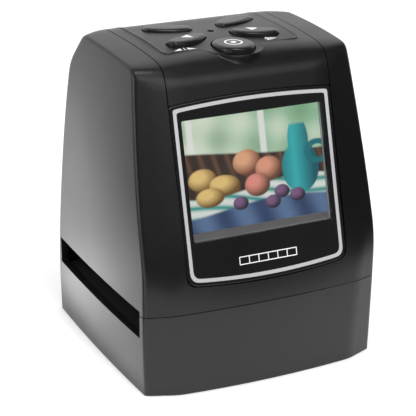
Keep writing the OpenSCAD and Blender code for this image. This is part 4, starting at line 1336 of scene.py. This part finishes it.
# %% [markdown]
# ## Stage, light and camera
# The scanner stands on a pale floor that runs into a white background. The floor is lit like any
# surface, so it keeps the shadow, but rays from the camera and mirror rays see it lifted.
# Glossy black plastic shows what it mirrors. So most of its surroundings are black cards, which
# only mirror rays see, and a glowing patch on the floor and three soft lamps draw its highlights.

# %% Floor and background
FLOOR_LIFT = 0.30
FLOOR_HALF = 3000.0
SKY = (0.9, 1.0)


def mirror_or_camera(tree):
    """1 for rays from the camera, from a glossy bounce or through glass; 0 for diffuse light."""
    path = add_node(tree, "ShaderNodeLightPath", {})
    total = path.outputs["Is Camera Ray"]
    for other in ("Is Glossy Ray", "Is Transmission Ray"):
        add = add_node(tree, "ShaderNodeMath", {0: total, 1: path.outputs[other]}, "ADD")
        add.use_clamp = True
        total = add.outputs[0]
    return total


def make_floor():
    """A large plane with a pale, slightly uneven finish and a camera-ray lift."""
    corners = [(-1, -1, 0), (1, -1, 0), (1, 1, 0), (-1, 1, 0)]
    floor = new_piece("floor", FLOOR_HALF * np.array(corners), [[0, 1, 2, 3]])
    material = finish("pale_floor", (0.8, 0.8, 0.8), 0.7, grain=800.0, tint=0.01)
    tree = material.node_tree
    lift = add_node(tree, "ShaderNodeMath", {0: mirror_or_camera(tree), 1: FLOOR_LIFT},
                    "MULTIPLY")
    set_inputs(tree, tree.nodes["Principled BSDF"], {
        "Emission Color": (1, 1, 1, 1), "Emission Strength": lift.outputs[0]})
    floor.data.materials.append(material)


def make_world():
    """A white background, a little dimmer as a light than as the camera sees it."""
    world = bpy.data.worlds.new("studio")
    bpy.context.scene.world = world
    world.use_nodes = True
    tree = world.node_tree
    strength = add_node(tree, "ShaderNodeMapRange", {
        "To Min": SKY[0], "To Max": SKY[1], "Value": mirror_or_camera(tree)})
    set_inputs(tree, tree.nodes["Background"], {
        "Color": (1, 1, 1, 1), "Strength": strength.outputs["Result"]})


make_floor()
make_world()
bpy.context.scene.view_settings.view_transform = "Standard"
print("floor and world are ready")

# %% Lights
CARD_BLACK = finish("card_black", (0.0, 0.0, 0.0), 1.0, Specular_IOR_Level=0.0)
CARD_R, CARD_H = 900.0, 620.0
ACROSS_PATCH = np.array([0.917, 0.4, 0.0])
PATCH_SIDE = 61
DIM_FROM_Y, DIM_OVER, DIM_BY = 50.0, 50.0, 0.45


def softbox(name, at, towards, size, radiance):
    """A rectangular area lamp that looks from one point towards another, in metres. Its power
    is radiance times pi times area."""
    lamp = bpy.data.lights.new(name, "AREA")
    lamp.shape, lamp.size, lamp.size_y = "RECTANGLE", size[0], size[1]
    lamp.energy = radiance * math.pi * size[0] * size[1]
    piece = bpy.data.objects.new(name, lamp)
    bpy.context.collection.objects.link(piece)
    piece.location = at
    look = Vector(towards) - Vector(at)
    piece.rotation_euler = look.to_track_quat("-Z", "Y").to_euler()
    piece.visible_camera = False
    return piece


def card(name, grid, material):
    """A card from a grid of points in millimetres, which neither the camera nor shadows see."""
    piece = new_piece(name, grid.reshape(-1, 3), net_cells(*grid.shape[:2]).tolist())
    piece.data.materials.append(material)
    piece.visible_camera = piece.visible_shadow = False
    return piece


def black_card(name, grid):
    """A black card that only mirror rays see, so it keeps a reflection dark."""
    card(name, grid, CARD_BLACK).visible_diffuse = False


def ring_card(name, azimuths, low, high):
    """A black card round the scanner, between two azimuths. Its two edges are given by radius
    and height."""
    angle = np.radians(np.linspace(*azimuths, 33))[:, None]
    radius, height = (np.linspace(a, b, 5)[None, :] for a, b in zip(low, high))
    black_card(name, xyz(radius * np.sin(angle), -radius * np.cos(angle), height))


def light_floor(name, corners, table):
    """A glowing patch on the floor, from its four corners. Its strength comes from a table of
    places, measured in millimetres across the patch, falls to 0.55 of that 50 to 100 mm behind
    the body's middle, and is kept in the mesh."""
    share = np.linspace(0, 1, PATCH_SIDE)
    u, v = np.meshgrid(share, share, indexing="ij")
    a, b, c, d = (np.array(corner, float) for corner in corners)
    grid = mix(mix(a, b, v[..., None]), mix(d, c, v[..., None]), u[..., None])
    behind = np.clip((grid[..., 1] - DIM_FROM_Y) / DIM_OVER, 0, 1)
    strengths = np.interp(grid @ ACROSS_PATCH, *table) * (1 - DIM_BY * behind)
    material = bpy.data.materials.new(name)
    material.use_nodes = True
    tree = material.node_tree
    tree.nodes.clear()
    strength = add_node(tree, "ShaderNodeAttribute", {})
    strength.attribute_name = "glow"
    glowing = add_node(tree, "ShaderNodeEmission", {"Strength": strength.outputs["Fac"]})
    add_node(tree, "ShaderNodeOutputMaterial", {"Surface": glowing.outputs["Emission"]})
    layer = card(name, grid, material).data.attributes.new("glow", "FLOAT", "POINT")
    layer.data.foreach_set("value", strengths.ravel())


ring_card("card_front", (-70.0, 85.0), (CARD_R, 0.0), (CARD_R, CARD_H))
ring_card("card_floor_front", (-40.0, 105.0), (160.0, 1.0), (CARD_R, 1.0))
black_card("card_above", np.array([[[-900.0, -1000.0, CARD_H], [-900.0, 120.0, CARD_H]],
                                   [[1000.0, -1000.0, CARD_H], [1000.0, 120.0, CARD_H]]]))
black_card("card_floor_side", np.array([[[-400.0, -40.0, 1.0], [-560.0, 420.0, 1.0]],
                                        [[-72.0, -40.0, 1.0], [-273.0, 420.0, 1.0]]]))
light_floor("light_side", [(-43, -46, 2), (-43, 60, 2), (-100, 330, 2), (-246, 330, 2)],
            [(-80, -62, -50, -40, -30, -20), (0.0, 0.9, 1.8, 2.0, 3.5, 5.2)])
for lamp in (("light_left", (-0.85, -0.30, 0.30), (0, 0, 0.06), (0.25, 0.45), 5.0),
             ("light_front", (0.13, -0.70, 0.54), (0, -0.02, 0.09), (0.62, 0.36), 2.8),
             ("light_top", (-0.03, -0.22, 0.59), (0, -0.01, 0.10), (0.20, 0.15), 9.0)):
    softbox(*lamp)
print("three soft lamps, a glowing patch of floor and four black cards")

# %% Camera
CAMERA_TARGET = np.array([2.61, 5.4, 40.71])
CAMERA_AZ, CAMERA_EL, CAMERA_ROLL = -29.18, 20.62, 1.56
CAMERA_DIST = 612.44
CAMERA_LENS = 162.6


def place_camera():
    """A camera on a sphere round the target: turned about the upright axis, raised and rolled."""
    az, el, roll = (math.radians(v) for v in (CAMERA_AZ, CAMERA_EL, CAMERA_ROLL))
    back = np.array([math.sin(az) * math.cos(el), -math.cos(az) * math.cos(el), math.sin(el)])
    right = np.array([math.cos(az), math.sin(az), 0.0])
    up = np.cross(back, right)
    lens = bpy.data.cameras.new("view")
    lens.lens, lens.sensor_width = CAMERA_LENS, 36.0
    lens.clip_start, lens.clip_end = 0.01, 20.0
    camera = bpy.data.objects.new("view", lens)
    bpy.context.collection.objects.link(camera)
    matrix = np.eye(4)
    matrix[:3, :] = np.stack([right * math.cos(roll) + up * math.sin(roll),
                              -right * math.sin(roll) + up * math.cos(roll), back,
                              (CAMERA_TARGET + CAMERA_DIST * back) * MM], -1)
    camera.matrix_world = Matrix(matrix.tolist())
    bpy.context.scene.camera = camera
    return camera


camera = place_camera()
print("camera at", [round(v, 3) for v in camera.location])
